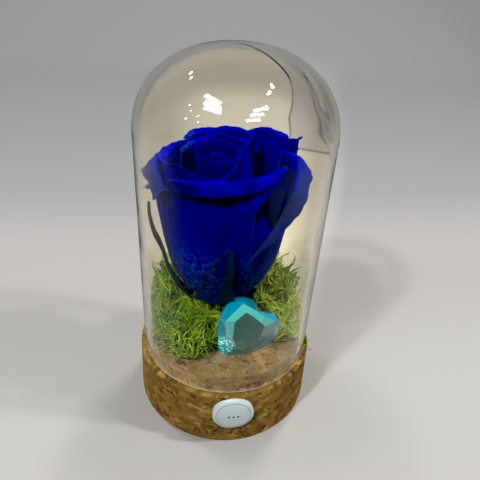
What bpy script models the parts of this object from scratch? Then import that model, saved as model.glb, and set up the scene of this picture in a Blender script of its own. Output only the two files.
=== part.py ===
"""Preserved rose in a glass dome on a cork base.

Metres, +Z up. The origin is the centre of the cork's flat underside, and the label faces -Y.
Angles are in degrees round the Z axis, or round the rose's own axis for its petals.
"""
import math
import random

import bmesh
import bpy
import numpy as np
from mathutils import Matrix, Vector, noise
from mathutils.bvhtree import BVHTree

MM = 0.001
GAP = 0.3 * MM
MERGE = 0.00001
TOUCH = 0.0000004

# Cork base: a flat disc with a plug that fills the dome's mouth
CORK_BOTTOM_RADIUS = 31.9 * MM
CORK_LEDGE_RADIUS = 31.4 * MM
CORK_LEDGE_HEIGHT = 21.6 * MM
CORK_EDGE = 0.8 * MM
CORK_SIDES = 48
PLUG_STAND = 6.0 * MM
PLUG_TOP = CORK_LEDGE_HEIGHT + PLUG_STAND

# Glass dome: a straight wall with a rounded crown
GLASS_RADIUS = 30.0 * MM
GLASS_WALL = 2.0 * MM
GLASS_RIM = CORK_LEDGE_HEIGHT + GAP
GLASS_SHOULDER = 99.8 * MM
CROWN_HEIGHT = 24.5 * MM
CROWN_POWER = 2.16
GLASS_INSIDE = GLASS_RADIUS - GLASS_WALL
PLUG_RADIUS = GLASS_INSIDE - GAP
GLASS_SIDES = 36
CROWN_STEPS = 7

# Rose: its base, and the point that its axis leans to
ROSE_BASE = Vector((-3.8, -3.0, 41.0)) * MM
ROSE_LEAN = Vector((1.6, 1.8, 51.0)) * MM
BOWL_RADIUS = 18.6 * MM
BOWL_START = 3.1 * MM
BOWL_HEIGHT = 25.0 * MM
PETAL_THICK = 0.8 * MM
PETAL_FOOT_HEIGHT = 4.0 * MM
FOOT_SPREAD = 0.6
FOOT_END = 0.5
LEAVE_FROM = 0.42
SPREAD_FROM = 0.78
PETAL_COLUMNS = 6
PETAL_ROWS = 6
INNER_SHELL = 0.87
INNER_FOOT_HEIGHT = 22.0 * MM
INNER_ROWS = 4
LIP_ROWS = 3
LIP_PARTS = 4
LIP_ROLL_END = 0.6
BUD_CENTRE = (-3.6 * MM, 1.2 * MM)
BUD_RADIUS = 7.6 * MM
BUD_DEPTH_SHARE = 0.92
BUD_TOP = 53.4 * MM
BUD_FOOT = 30.0 * MM
BUD_WAVE = 1.2 * MM
BUD_DROP = 3.0 * MM
BUD_START = -150
BUD_TURN = 640
BUD_COIL_FROM = 0.45
BUD_COIL = 0.62
BUD_TAPER = 0.12
BUD_COLUMNS = 20
BUD_ROWS = 2
CORE_SIDES = 16
CORE_HEIGHT = 34.0 * MM
CORE_CROWN = 8.0 * MM
CORE_INSET = 2.4 * MM

# Stem, hip and sepals, in the rose's own frame
STEM_RADIUS = 2.0 * MM
STEM_TOP = 0.5 * MM
STEM_DEPTH = 8.0 * MM
STEM_SIDES = 14
HIP_RADIUS = 4.4 * MM
HIP_FACE = 3.4 * MM
HIP_BEVEL = 1.2 * MM
HIP_TOP = 2.7 * MM
HIP_HEIGHT = 6.0 * MM
SEPAL_THICK = 0.7 * MM
SEPAL_COLUMNS = 4
SEPAL_ROWS = 7
SEPAL_WRAP = 0.9

# Moss: heaps on the cork, and twigs that root in them
MOSS_CORE_RADIUS = 3.8 * MM
HEAP_MIDDLE = 0.37
HEAP_HALF_HEIGHT = 0.47
HEAP_ROUGHNESS = 0.35
HEAP_GRAIN = 2.3
HEAP_SHRINK = 0.95
HEAP_MARGIN = 1.06
MOSS_TWIG_RADIUS = 0.5 * MM
MOSS_TWIG_TIP = 0.36 * MM
MOSS_TWIG_LENGTH = 6.5 * MM
TWIG_ROOT = 0.7
TWIG_RISE = 0.3
TWIG_OUTWARD = 0.5
TWIG_BEND = 0.7
TWIG_SHORTEST = 0.8
TWIG_LONGEST = 1.3
MOSS_SIDES = 3
MOSS_FLOOR = PLUG_TOP + GAP
MOSS_WALL = GLASS_INSIDE - 0.9 * MM
MOSS_CLEAR = 0.4 * MM
MOSS_FORK_LENGTH = 3.2 * MM
MOSS_FRINGE = 3.1 * MM
MOSS_STEPS = 5
FLOOR_STEP = 0.06 * MM
MOSS_TRIES = 30
MOSS_SEEDS = 9

# Heart gem: its tip, the way that its table faces, and its lean to the side
HEART_TIP = Vector((-3.1, -19.6, 28.9)) * MM
HEART_FACING = -82.0
HEART_LIFT = 8.0
HEART_ROLL = 39.0
HEART_THICK = 5.8 * MM
HEART_SCALE = 1.09
HEART_STEPS = 9
HEART_MIDDLE = 11.0 * MM

# Hot glue under the gem's tip
GLUE_CENTRE = Vector((-4.0, -18.8, 28.2)) * MM
GLUE_SIZE = Vector((4.2, 2.8, 2.4)) * MM

# Label: a round domed sticker
LABEL_RADIUS = 6.9 * MM
LABEL_THICK = 1.9 * MM
LABEL_EDGE = 0.7 * MM
LABEL_HEIGHT = 15.0 * MM
LABEL_BACK = -2.0 * MM
LABEL_STEPS = 5
LABEL_SIDES = 22


def clear_scene():
    """Remove what the open file holds."""
    for item in list(bpy.data.objects):
        bpy.data.objects.remove(item, do_unlink=True)


def make_collection(name):
    """A collection linked to the scene."""
    group = bpy.data.collections.new(name)
    bpy.context.scene.collection.children.link(group)
    return group


def make_material(name, colour, roughness, transmission=0.0):
    """A Principled material."""
    material = bpy.data.materials.new(name)
    material.use_nodes = True
    shader = material.node_tree.nodes["Principled BSDF"]
    shader.inputs["Base Color"].default_value = (*colour, 1.0)
    shader.inputs["Roughness"].default_value = roughness
    shader.inputs["Metallic"].default_value = 0.0
    shader.inputs["Transmission Weight"].default_value = transmission
    return material


def add_object(name, mesh, group, material=None):
    """An object made from a mesh."""
    item = bpy.data.objects.new(name, mesh)
    group.objects.link(item)
    if material:
        mesh.materials.append(material)
    return item


def grid_mesh(name, points, closed=False):
    """A mesh of triangles through a grid of points, split alike all over."""
    shape = bmesh.new()
    rows = [[shape.verts.new(point) for point in line] for line in points]
    for low, high in zip(rows, rows[1:]):
        count = len(low)
        last = count if closed else count - 1
        for index in range(last):
            after = (index + 1) % count
            shape.faces.new((low[index], low[after], high[after]))
            shape.faces.new((low[index], high[after], high[index]))
    mesh = bpy.data.meshes.new(name)
    shape.to_mesh(mesh)
    shape.free()
    return mesh


def evaluated_mesh(item):
    """A copy of an object's mesh with its modifiers applied."""
    graph = bpy.context.evaluated_depsgraph_get()
    return bpy.data.meshes.new_from_object(item.evaluated_get(graph))


def keep_largest_body(mesh):
    """Drop loose scraps and fill sealed hollows, which are bodies of their own."""
    shape = bmesh.new()
    shape.from_mesh(mesh)
    bmesh.ops.triangulate(shape, faces=shape.faces)
    left = set(shape.faces)
    bodies = []
    while left:
        first = left.pop()
        body = [first]
        stack = [first]
        while stack:
            face = stack.pop()
            for edge in face.edges:
                for near in edge.link_faces:
                    if near in left:
                        left.discard(near)
                        body.append(near)
                        stack.append(near)
        volume = sum(face.verts[0].co.dot(face.verts[1].co.cross(face.verts[2].co)) for face in body)
        bodies.append((volume, body))
    bodies.sort(key=lambda entry: entry[0])
    for _, body in bodies[:-1]:
        bmesh.ops.delete(shape, geom=body, context="FACES")
    loose = [vert for vert in shape.verts if not vert.link_faces]
    bmesh.ops.delete(shape, geom=loose, context="VERTS")
    shape.to_mesh(mesh)
    shape.free()


def join_solids(target, solids, group, operation="UNION"):
    """Join a list of solids to a target in one Boolean, or cut them from it, and remove them."""
    tools = bpy.data.collections.new(target.name + "_tools")
    bpy.context.scene.collection.children.link(tools)
    for item in solids:
        for holder in list(item.users_collection):
            holder.objects.unlink(item)
        tools.objects.link(item)
    cut = target.modifiers.new("join", "BOOLEAN")
    cut.operation = operation
    cut.operand_type = "COLLECTION"
    cut.collection = tools
    cut.solver = "MANIFOLD"
    mesh = evaluated_mesh(target)
    target.modifiers.remove(cut)
    keep_largest_body(mesh)
    target.data = mesh
    for item in list(tools.objects):
        bpy.data.objects.remove(item, do_unlink=True)
    bpy.data.collections.remove(tools)


def turned(name, profile, steps, group, material):
    """A solid turned about the Z axis from points that run down its outer side."""
    mesh = bpy.data.meshes.new(name)
    verts = [(radius, 0.0, height) for radius, height in profile]
    edges = [(index, index + 1) for index in range(len(profile) - 1)]
    mesh.from_pydata(verts, edges, [])
    item = add_object(name, mesh, group, material)
    screw = item.modifiers.new("turn", "SCREW")
    screw.steps = steps
    screw.render_steps = steps
    screw.use_merge_vertices = True
    screw.merge_threshold = MERGE
    return item


def smooth_step(value):
    """Rise from 0 to 1 with level ends."""
    value = np.clip(value, 0.0, 1.0)
    return value * value * (3.0 - 2.0 * value)


def curve_through(points, share):
    """The point at a share of the way along a smooth curve through points."""
    points = np.asarray(points, float)
    spans = len(points) - 1
    place = min(max(share, 0.0), 1.0) * spans
    index = min(int(place), spans - 1)
    step = place - index
    before = points[max(index - 1, 0)]
    start = points[index]
    end = points[index + 1]
    after = points[min(index + 2, spans)]
    ease = step * step
    cube = ease * step
    return 0.5 * (2 * start + (end - before) * step + (2 * before - 5 * start + 4 * end - after) * ease
                  + (3 * start - before - 3 * end + after) * cube)


def bowl_radius(height):
    """The bloom's outer radius at a height over its base."""
    share = min(max((height - BOWL_START) / BOWL_HEIGHT, 0.0), 1.0)
    return BOWL_RADIUS * math.sqrt(1.0 - (1.0 - share) ** 2)


def petal(shells, body, lip, *rim):
    """A petal's form: its shell at each side as a share of the bowl, its sides' angles half-way up,
    its lip's lengths from left to right and its turn, and its rim as (angle, radius, height)."""
    inner = max(shells) < INNER_SHELL
    foot = INNER_FOOT_HEIGHT if inner else PETAL_FOOT_HEIGHT
    rows = INNER_ROWS if inner else PETAL_ROWS
    return {"shells": shells, "body": body, "lip": lip, "rim": rim, "foot": foot, "rows": rows}


PETALS = {
    "front": petal((0.98, 1.03), (-151, -69), (4.0, 6.4, 7.0, 5.0, 1.0, 155),
                   (-152, 18.0, 46.0), (-120, 15.8, 47.6), (-90, 15.4, 49.3), (-60, 16.4, 50.8), (-36, 18.4, 53.2)),
    "right": petal((0.95, 1.06), (-82, 22), (0.8, 7.0, 6.0, 145),
                   (-68, 18.4, 34.0), (-50, 19.6, 36.0), (-26, 20.8, 45.5), (-4, 20.2, 51.0), (16, 18.0, 51.4)),
    "left": petal((0.92, 0.92), (150, 206), (2.0, 7.5, 5.5, 140),
                  (142, 17.0, 46.4), (160, 19.2, 47.6), (178, 20.1, 48.0), (194, 20.1, 46.0), (207, 19.2, 42.6)),
    "left_low": petal((0.96, 0.97), (160, 212), (6.0, 3.0, 1.0, 120),
                      (166, 20.6, 38.5), (182, 21.0, 41.6), (196, 20.0, 43.4), (210, 18.6, 44.6)),
    "back_left": petal((1.02, 1.0), (80, 150), (5.0, 7.0, 5.0, 150),
                       (78, 18.5, 45.0), (98, 18.8, 47.5), (118, 19.0, 48.5), (138, 18.6, 46.5), (150, 18.4, 44.0)),
    "back_right": petal((1.03, 0.98), (16, 88), (5.0, 7.0, 5.0, 150),
                        (14, 19.5, 46.0), (34, 19.0, 49.0), (54, 18.5, 50.0), (74, 18.4, 48.5), (90, 18.0, 46.0)),
    "rear_right": petal((0.92, 0.90), (0, 62), (1.5, 2.5, 2.0, 80),
                        (8, 22.2, 57.0), (16, 19.4, 55.6), (30, 17.8, 56.6), (46, 16.8, 56.6), (62, 15.8, 55.2)),
    "rear_left": petal((0.88, 0.90), (122, 186), (3.0, 3.5, 3.0, 100),
                       (118, 16.8, 50.8), (136, 18.6, 50.0), (152, 19.6, 48.8), (170, 20.4, 47.8), (186, 20.0, 46.6)),
    "rear": petal((0.86, 0.84), (58, 146), (1.6, 2.0, 2.0, 70),
                  (54, 14.8, 54.8), (80, 14.8, 55.6), (100, 14.8, 55.4), (122, 15.4, 54.6), (142, 15.6, 52.4)),
    "inner_left": petal((0.83, 0.81), (172, 262), (1.2, 1.6, 1.2, 60),
                        (172, 20.0, 49.4), (190, 18.6, 50.0), (210, 16.2, 50.0), (232, 14.4, 49.6), (262, 14.2, 49.2)),
    "inner_right": petal((0.74, 0.77), (-110, 50), (1.0, 1.2, 1.2, 50),
                         (-102, 13.0, 48.8), (-84, 7.4, 50.0), (-45, 3.4, 51.3), (0, 3.0, 52.6), (28, 6.4, 54.6),
                         (46, 12.4, 57.0)),
    "inner_rear": petal((0.72, 0.70), (48, 160), (1.2, 1.6, 1.2, 60),
                        (48, 11.5, 52.5), (75, 11.6, 53.6), (100, 12.4, 54.0), (130, 13.6, 52.6), (160, 15.0, 50.0)),
}


def petal_points(form, columns, lip_rows):
    """A petal as a grid: it climbs the bowl, leaves it for its rim and rolls outward as a lip."""
    rim = form["rim"]
    lip = form["lip"]
    rows = form["rows"]
    low, high = form["body"]
    middle = 0.5 * (low + high)
    grid = np.zeros((rows + lip_rows + 1, columns + 1, 3))
    for column in range(columns + 1):
        share = column / columns
        side = 2.0 * share - 1.0
        angle, radius, height = curve_through(rim, share)
        radius *= MM
        height *= MM
        body = math.radians(low + (high - low) * share)
        foot = math.radians(middle) + FOOT_SPREAD * (body - math.radians(middle))
        angle = math.radians(angle)
        shell = form["shells"][0] + (form["shells"][1] - form["shells"][0]) * share
        for row in range(rows + 1):
            rise = row / rows
            level = form["foot"] + (height - form["foot"]) * rise
            climb = level / height
            turn = foot + (body - foot) * smooth_step(climb / FOOT_END)
            turn += (angle - body) * smooth_step((climb - SPREAD_FROM) / (1.0 - SPREAD_FROM))
            leave = smooth_step((climb - LEAVE_FROM) / (1.0 - LEAVE_FROM))
            out = shell * bowl_radius(level) * (1.0 - leave) + radius * leave
            grid[row, column] = (out * math.cos(turn), out * math.sin(turn), level)
        length = np.interp(side, np.linspace(-1.0, 1.0, len(lip) - 1), lip[:-1]) * MM
        step = length / lip_rows / LIP_PARTS
        outward = np.array((math.cos(angle), math.sin(angle), 0.0))
        slope = grid[rows, column] - grid[rows - 1, column]
        tilt = math.atan2(float(slope @ outward), float(slope[2]))
        place = grid[rows, column].copy()
        for row in range(1, lip_rows + 1):
            for part in range(LIP_PARTS):
                run = ((row - 1) * LIP_PARTS + part + 0.5) / (lip_rows * LIP_PARTS)
                bend = tilt + math.radians(lip[-1]) * float(smooth_step(run / LIP_ROLL_END))
                place = place + step * (outward * math.sin(bend) + np.array((0.0, 0.0, math.cos(bend))))
            grid[rows + row, column] = place
    return grid


def rose_matrix():
    """Stand the rose's own Z axis on its base, leaning."""
    turn = Vector((0.0, 0.0, 1.0)).rotation_difference(ROSE_LEAN.normalized())
    return Matrix.Translation(ROSE_BASE) @ turn.to_matrix().to_4x4()


def solid_sheet(name, points, thickness, group, matrix):
    """A thin closed solid from an open grid."""
    item = add_object(name, grid_mesh(name, points), group)
    item.data.transform(matrix)
    sheet = item.modifiers.new("thick", "SOLIDIFY")
    sheet.thickness = thickness
    sheet.offset = 0.0
    item.data = evaluated_mesh(item)
    item.modifiers.clear()
    return item


def bud_points(columns, rows):
    """The wound bud: one long petal round the bloom's off-centre heart, which coils in and down."""
    grid = np.zeros((rows + 1, columns + 1, 3))
    for column in range(columns + 1):
        share = column / columns
        angle = math.radians(BUD_START + BUD_TURN * share)
        inward = smooth_step((share - BUD_COIL_FROM) / (1.0 - BUD_COIL_FROM))
        radius = BUD_RADIUS * (1.04 - 0.10 * share - BUD_COIL * inward)
        height = BUD_TOP + BUD_WAVE * math.sin(angle) - BUD_DROP * inward
        for row in range(rows + 1):
            rise = row / rows
            level = BUD_FOOT + (height - BUD_FOOT) * rise
            out = radius * (1.0 - BUD_TAPER * rise * rise)
            x = BUD_CENTRE[0] * rise + out * math.cos(angle)
            y = BUD_CENTRE[1] * rise + BUD_DEPTH_SHARE * out * math.sin(angle)
            grid[row, column] = (x, y, level)
    return grid


def make_bloom(group, material):
    """The bloom: a core that the petals stand out of."""
    matrix = rose_matrix()
    profile = [(0.0, CORE_HEIGHT)]
    for level in np.linspace(CORE_HEIGHT, BOWL_START, 7)[1:-1]:
        crown = max(level - CORE_HEIGHT + CORE_CROWN, 0.0) / CORE_CROWN
        radius = max(bowl_radius(level) - CORE_INSET, 0.5 * bowl_radius(level))
        profile.append((radius * math.sqrt(1.0 - crown ** 2), level))
    profile.append((0.0, BOWL_START))
    core = turned("rose_bloom", profile, CORE_SIDES, group, material)
    core.data = evaluated_mesh(core)
    core.modifiers.clear()
    core.data.transform(matrix)
    solids = []
    for name, form in PETALS.items():
        points = petal_points(form, PETAL_COLUMNS, LIP_ROWS)
        solids.append(solid_sheet(name, points, PETAL_THICK, group, matrix))
    solids.append(solid_sheet("bud", bud_points(BUD_COLUMNS, BUD_ROWS), PETAL_THICK, group, matrix))
    join_solids(core, solids, group)
    return core


def stem_and_hip(group, material):
    """The stem, down into its hole in the cork, and the hip that it swells into, as one turned solid."""
    foot = (PLUG_TOP - STEM_DEPTH + GAP) - ROSE_BASE.z
    under = STEM_TOP - HIP_HEIGHT
    shoulder = HIP_TOP - HIP_BEVEL
    profile = [(0.0, HIP_TOP), (HIP_FACE, HIP_TOP), (HIP_RADIUS, shoulder)]
    for step in range(1, 5):
        share = step / 4
        radius = STEM_RADIUS + (HIP_RADIUS - STEM_RADIUS) * math.cos(share * math.pi / 2)
        profile.append((radius, shoulder + (under - shoulder) * share))
    profile.append((STEM_RADIUS, foot))
    profile.append((0.0, foot))
    stem = turned("rose_stem", profile, STEM_SIDES, group, material)
    stem.data = evaluated_mesh(stem)
    stem.modifiers.clear()
    stem.data.transform(rose_matrix())
    return stem


# Sepals, as the angles of root and tip round the rose, (left, right) half widths along it, how far its
# right edge stands out for its width, and a path of (radius, height).
SEPALS = {
    "left": ((197, 199), [(1.8, 1.8), (2.4, 2.4), (2.8, 2.8), (2.6, 2.6), (2.2, 2.2), (1.6, 1.6), (0.7, 0.7)], 0.2,
             [(3.0, 1.6), (7.0, 2.6), (11.0, 5.2), (15.0, 10.6), (17.9, 17.2), (19.6, 24.0), (22.0, 30.2),
              (23.3, 36.0), (23.6, 40.0)]),
    "front": ((-102, -90), [(2.4, 2.4), (4.6, 4.0), (6.2, 5.2), (6.6, 5.4), (5.6, 4.6), (3.6, 3.0), (1.0, 1.0)], 0.0,
              [(3.0, 1.6), (5.6, 2.0), (8.8, 4.0), (14.0, 8.9), (17.9, 16.4), (19.9, 24.0), (20.3, 31.4)]),
    "right": ((-24, -18), [(2.0, 2.0), (4.2, 4.2), (3.6, 3.6), (0.8, 0.8)], 0.0,
              [(3.0, 1.6), (6.6, 2.2), (10.2, 4.0), (13.4, 7.6)]),
    "back_right": ((42, 36), [(2.4, 2.4), (5.0, 5.0), (5.0, 5.0), (3.2, 3.2), (0.8, 0.8)], 0.0,
                   [(3.0, 1.6), (7.0, 2.4), (11.2, 4.6), (15.8, 9.6), (18.6, 16.0), (20.0, 23.0)]),
    "back_left": ((118, 124), [(2.4, 2.4), (5.0, 5.0), (5.0, 5.0), (3.2, 3.2), (0.8, 0.8)], 0.0,
                  [(3.0, 1.6), (7.0, 2.4), (11.2, 4.6), (15.8, 9.6), (18.6, 16.0), (20.0, 23.0)]),
}


def sepal_points(angles, widths, twist, path, columns, rows):
    """A sepal as a grid along its path: a leaf that narrows to a point and wraps round the bowl."""
    grid = np.zeros((rows + 1, columns + 1, 3))
    for row in range(rows + 1):
        share = row / rows
        radius, height = curve_through(path, share) * MM
        left, right = curve_through(widths, share) * MM
        middle = math.radians(angles[0] + (angles[1] - angles[0]) * share)
        for column in range(columns + 1):
            side = 2.0 * column / columns - 1.0
            width = left if side < 0.0 else right
            turn = middle + side * min(width / radius, SEPAL_WRAP)
            out = radius + twist * side * width * smooth_step(2.0 * share)
            grid[row, column] = (out * math.cos(turn), out * math.sin(turn), height)
    return grid


def make_stem(group, material):
    """The stem with its hip and its five sepals, one natural piece."""
    stem = stem_and_hip(group, material)
    matrix = rose_matrix()
    solids = []
    for name, form in SEPALS.items():
        points = sepal_points(*form, SEPAL_COLUMNS, SEPAL_ROWS)
        solids.append(solid_sheet(name, points, SEPAL_THICK, group, matrix))
    join_solids(stem, solids, group)
    return stem


def make_cork(group, cutters, material):
    """The cork base: disc, ledge and plug in one turned solid, with a hole for the stem."""
    bevel = CORK_EDGE
    profile = [
        (0.0, PLUG_TOP), (PLUG_RADIUS - bevel, PLUG_TOP), (PLUG_RADIUS, PLUG_TOP - bevel),
        (PLUG_RADIUS, CORK_LEDGE_HEIGHT), (CORK_LEDGE_RADIUS - bevel / 2, CORK_LEDGE_HEIGHT),
        (CORK_LEDGE_RADIUS, CORK_LEDGE_HEIGHT - bevel / 2), (CORK_BOTTOM_RADIUS, bevel),
        (CORK_BOTTOM_RADIUS - bevel, 0.0), (0.0, 0.0),
    ]
    cork = turned("cork_base", profile, CORK_SIDES, group, material)
    drill_mesh = bpy.data.meshes.new("stem_hole")
    shape = bmesh.new()
    bmesh.ops.create_cone(shape, cap_ends=True, segments=20, radius1=STEM_RADIUS + GAP,
                          radius2=STEM_RADIUS + GAP, depth=2 * STEM_DEPTH)
    shape.to_mesh(drill_mesh)
    shape.free()
    drill = add_object("stem_hole", drill_mesh, cutters)
    drill.data.transform(rose_matrix() @ Matrix.Translation((0.0, 0.0, PLUG_TOP - ROSE_BASE.z)))
    drill.hide_render = True
    drill.display_type = "WIRE"
    cut = cork.modifiers.new("stem_hole", "BOOLEAN")
    cut.operation = "DIFFERENCE"
    cut.object = drill
    return cork


def crown_radius(share):
    """The dome's radius at a share of its crown's height, as a share of the wall's."""
    return max(1.0 - share ** CROWN_POWER, 0.0) ** (1.0 / CROWN_POWER)


def make_dome(group, material):
    """The glass dome: a thin shell, open at the bottom, that stands on the cork's ledge."""
    lip = GLASS_WALL / 4
    outside = []
    inside = []
    for step in range(CROWN_STEPS + 1):
        share = math.sin(0.5 * math.pi * (1.0 - step / CROWN_STEPS))
        outside.append((GLASS_RADIUS * crown_radius(share), GLASS_SHOULDER + CROWN_HEIGHT * share))
        height = GLASS_SHOULDER + (CROWN_HEIGHT - GLASS_WALL) * share
        inside.append((GLASS_INSIDE * crown_radius(share), height))
    outside.append((GLASS_RADIUS, GLASS_RIM + lip))
    outside.append((GLASS_RADIUS - lip, GLASS_RIM))
    inside.append((GLASS_INSIDE, GLASS_RIM + lip))
    inside.append((GLASS_INSIDE + lip, GLASS_RIM))
    return turned("glass_dome", outside + inside[::-1], GLASS_SIDES, group, material)


def twig_mesh(name, path, root_radius, tip_radius):
    """A moss twig: a thin prism along a path, which tapers to its tip."""
    shape = bmesh.new()
    path = [Vector(point) for point in path]
    rings = []
    for index, point in enumerate(path[:-1]):
        along = path[index + 1] - path[max(index - 1, 0)]
        turn = Vector((0.0, 0.0, 1.0)).rotation_difference(along.normalized())
        radius = root_radius + (tip_radius - root_radius) * index / (len(path) - 1)
        ring = []
        for corner in range(MOSS_SIDES):
            angle = 2.0 * math.pi * corner / MOSS_SIDES
            arm = Vector((radius * math.cos(angle), radius * math.sin(angle), 0.0))
            ring.append(shape.verts.new(point + turn @ arm))
        rings.append(ring)
    for low, high in zip(rings, rings[1:]):
        for corner in range(MOSS_SIDES):
            after = (corner + 1) % MOSS_SIDES
            shape.faces.new((low[corner], low[after], high[after]))
            shape.faces.new((low[corner], high[after], high[corner]))
    shape.faces.new(rings[0][::-1])
    tip = shape.verts.new(path[-1])
    for corner in range(MOSS_SIDES):
        shape.faces.new((rings[-1][corner], rings[-1][(corner + 1) % MOSS_SIDES], tip))
    mesh = bpy.data.meshes.new(name)
    shape.to_mesh(mesh)
    shape.free()
    return mesh


def in_sector(point, sector, reach):
    """Whether a point is in a clump's own sector of the plug, by a distance."""
    start = math.radians(sector[0])
    end = math.radians(sector[1])
    past_start = point.y * math.cos(start) - point.x * math.sin(start)
    before_end = point.x * math.sin(end) - point.y * math.cos(end)
    return min(past_start, before_end) > reach


def is_clear(path, sector, trees):
    """Whether a twig's path stays on its sector, inside the glass and off the pieces in the trees."""
    for start, end in zip(path, path[1:]):
        for step in range(MOSS_STEPS + 1):
            point = start.lerp(end, step / MOSS_STEPS)
            if point.z < MOSS_FLOOR + MOSS_TWIG_RADIUS or math.hypot(point.x, point.y) > MOSS_WALL:
                return False
            if under_bowl(point) or not in_sector(point, sector, MOSS_TWIG_RADIUS + GAP):
                return False
            if too_near(point, MOSS_TWIG_RADIUS + MOSS_CLEAR, trees):
                return False
    return True


def under_bowl(point):
    """Whether a point is inside the bloom's bowl."""
    local = rose_matrix().inverted() @ point
    return local.z > BOWL_START and math.hypot(local.x, local.y) < bowl_radius(local.z)


def too_near(point, reach, trees):
    """Whether a point is nearer than a distance to a piece, or inside it."""
    for tree in trees:
        place, normal, _, distance = tree.find_nearest(point)
        if distance < reach or (distance < 2 * MM and (point - place).dot(normal) < 0.0):
            return True
    return False


# Moss clumps, as the sector of the plug that each keeps to, heaps of (angle, distance from the axis,
# height over the cork), and the number of twigs.
MOSS = {
    "moss_left": ((114, 284), [(127, 20.6, 14), (141, 21.2, 18), (155, 21.4, 21), (169, 21.4, 22), (183, 21.4, 20),
                               (197, 21.2, 18), (211, 21.0, 16), (225, 20.0, 14), (237, 17.6, 16), (250, 14.2, 19),
                               (222, 14.0, 17), (248, 10.4, 18), (205, 13.6, 15), (184, 14.4, 15)], 144),
    "moss_right": ((-76, 51), [(-28, 20.4, 10), (-15, 21.0, 14), (-2, 21.4, 18), (12, 21.4, 21), (26, 21.4, 22),
                               (38, 21.0, 18), (-24, 13.6, 17), (-2, 14.0, 17)], 86),
    "moss_back": ((51, 114), [(64, 20.6, 15), (82, 20.2, 15), (100, 20.4, 14)], 24),
}


def heap_centre(angle, distance, height):
    """The middle of a heap that stands on the cork."""
    turn = math.radians(angle)
    middle = Vector((distance * math.cos(turn), distance * math.sin(turn), HEAP_MIDDLE * height)) * MM
    return middle + Vector((0.0, 0.0, MOSS_FLOOR))


def heap_size(height):
    """The half sizes of a heap of a height."""
    return Vector((MOSS_CORE_RADIUS, MOSS_CORE_RADIUS, HEAP_HALF_HEIGHT * height * MM))


def moss_heap(name, heap, sector, group, trees, seed):
    """One rough heap of a clump's core, flat where it lies on the cork, drawn in where a piece is near."""
    shape = bmesh.new()
    bmesh.ops.create_icosphere(shape, subdivisions=1, radius=1.0)
    centre = heap_centre(*heap)
    size = heap_size(heap[2])
    for vert in shape.verts:
        bump = 1.0 + HEAP_ROUGHNESS * noise.noise(vert.co * HEAP_GRAIN + Vector((seed, 0.0, 0.0)))
        reach = Vector(vert.co * size) * bump
        drop = centre.z - MOSS_FLOOR - (seed % 5) * FLOOR_STEP
        reach *= min(1.0, drop / max(-reach.z, MERGE))
        while (too_near(centre + reach, 2 * MOSS_CLEAR, trees) or under_bowl(centre + HEAP_MARGIN * reach)
               or not in_sector(centre + reach, sector, GAP)
               or math.hypot(centre.x + reach.x, centre.y + reach.y) > MOSS_WALL - MOSS_FRINGE):
            reach *= HEAP_SHRINK
        vert.co = centre + reach
    mesh = bpy.data.meshes.new(name)
    shape.to_mesh(mesh)
    shape.free()
    return add_object(name, mesh, group)


def along_glass(place, way, length):
    """Turn a twig's way along the glass where it would go through it."""
    outward = Vector((place.x, place.y, 0.0)).normalized()
    room = (MOSS_WALL - math.hypot(place.x, place.y)) / length
    return (way - outward * max(way.dot(outward) - room, 0.0)).normalized()


def moss_twig(heap, sector, draw, trees):
    """The path of a curved twig that roots in a heap, or nothing where it would meet a piece."""
    centre = heap_centre(*heap)
    outward = Vector((centre.x, centre.y, 0.0)).normalized() * TWIG_OUTWARD
    way = (Vector((draw.gauss(0, 1), draw.gauss(0, 1), draw.gauss(TWIG_RISE, 1))) + outward).normalized()
    root = centre + TWIG_ROOT * Vector(way * heap_size(heap[2]))
    outside = max(math.hypot(root.x, root.y) / (MOSS_WALL - MOSS_FRINGE), 1.0)
    root.x /= outside
    root.y /= outside
    half = 0.5 * MOSS_TWIG_LENGTH * draw.uniform(TWIG_SHORTEST, TWIG_LONGEST)
    middle = root + along_glass(root, way, half) * half
    bend = Vector((draw.gauss(0, 1), draw.gauss(0, 1), draw.gauss(0, 1))) * TWIG_BEND
    path = (root, middle, middle + along_glass(middle, (way + bend).normalized(), half) * half)
    return path if is_clear(path, sector, trees) else None


def make_moss(name, sector, heaps, count, group, material, others):
    """A clump of moss: a small core of heaps that curved, forked twigs stand out of on all sides."""
    graph = bpy.context.evaluated_depsgraph_get()
    trees = [BVHTree.FromObject(item, graph) for item in others]
    for seed in range(MOSS_SEEDS):
        parts = [moss_heap(name, heap, sector, group, trees, index) for index, heap in enumerate(heaps)]
        core = parts[0]
        core.data.materials.append(material)
        for path in moss_paths(heaps, sector, count, trees, random.Random(name + str(seed))):
            parts.append(add_object(name, twig_mesh(name, path, MOSS_TWIG_RADIUS, MOSS_TWIG_TIP), group))
        join_solids(core, parts[1:], group)
        if not touches_itself(core.data):
            break
        bpy.data.objects.remove(core, do_unlink=True)
    core.name = name


def moss_paths(heaps, sector, count, trees, draw):
    """The paths of a clump's twigs, some of them forked."""
    paths = []
    for _ in range(MOSS_TRIES * count):
        path = moss_twig(heaps[draw.randrange(len(heaps))], sector, draw, trees)
        if path and len(paths) < count:
            paths.append(path)
            side = Vector((draw.gauss(0, 1), draw.gauss(0, 1), draw.gauss(0, 1))).normalized()
            way = ((path[2] - path[1]).normalized() + side).normalized()
            fork = path[1] + along_glass(path[1], way, MOSS_FORK_LENGTH) * MOSS_FORK_LENGTH
            if is_clear((path[1], fork), sector, trees):
                paths.append((path[1], fork))
    return paths


def touches_itself(mesh):
    """Whether a mesh has a wall or a gap so thin that its two sides count as one."""
    shape = bmesh.new()
    shape.from_mesh(mesh)
    bmesh.ops.remove_doubles(shape, verts=shape.verts, dist=TOUCH)
    touches = any(len(edge.link_faces) != 2 for edge in shape.edges)
    shape.free()
    return touches


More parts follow.
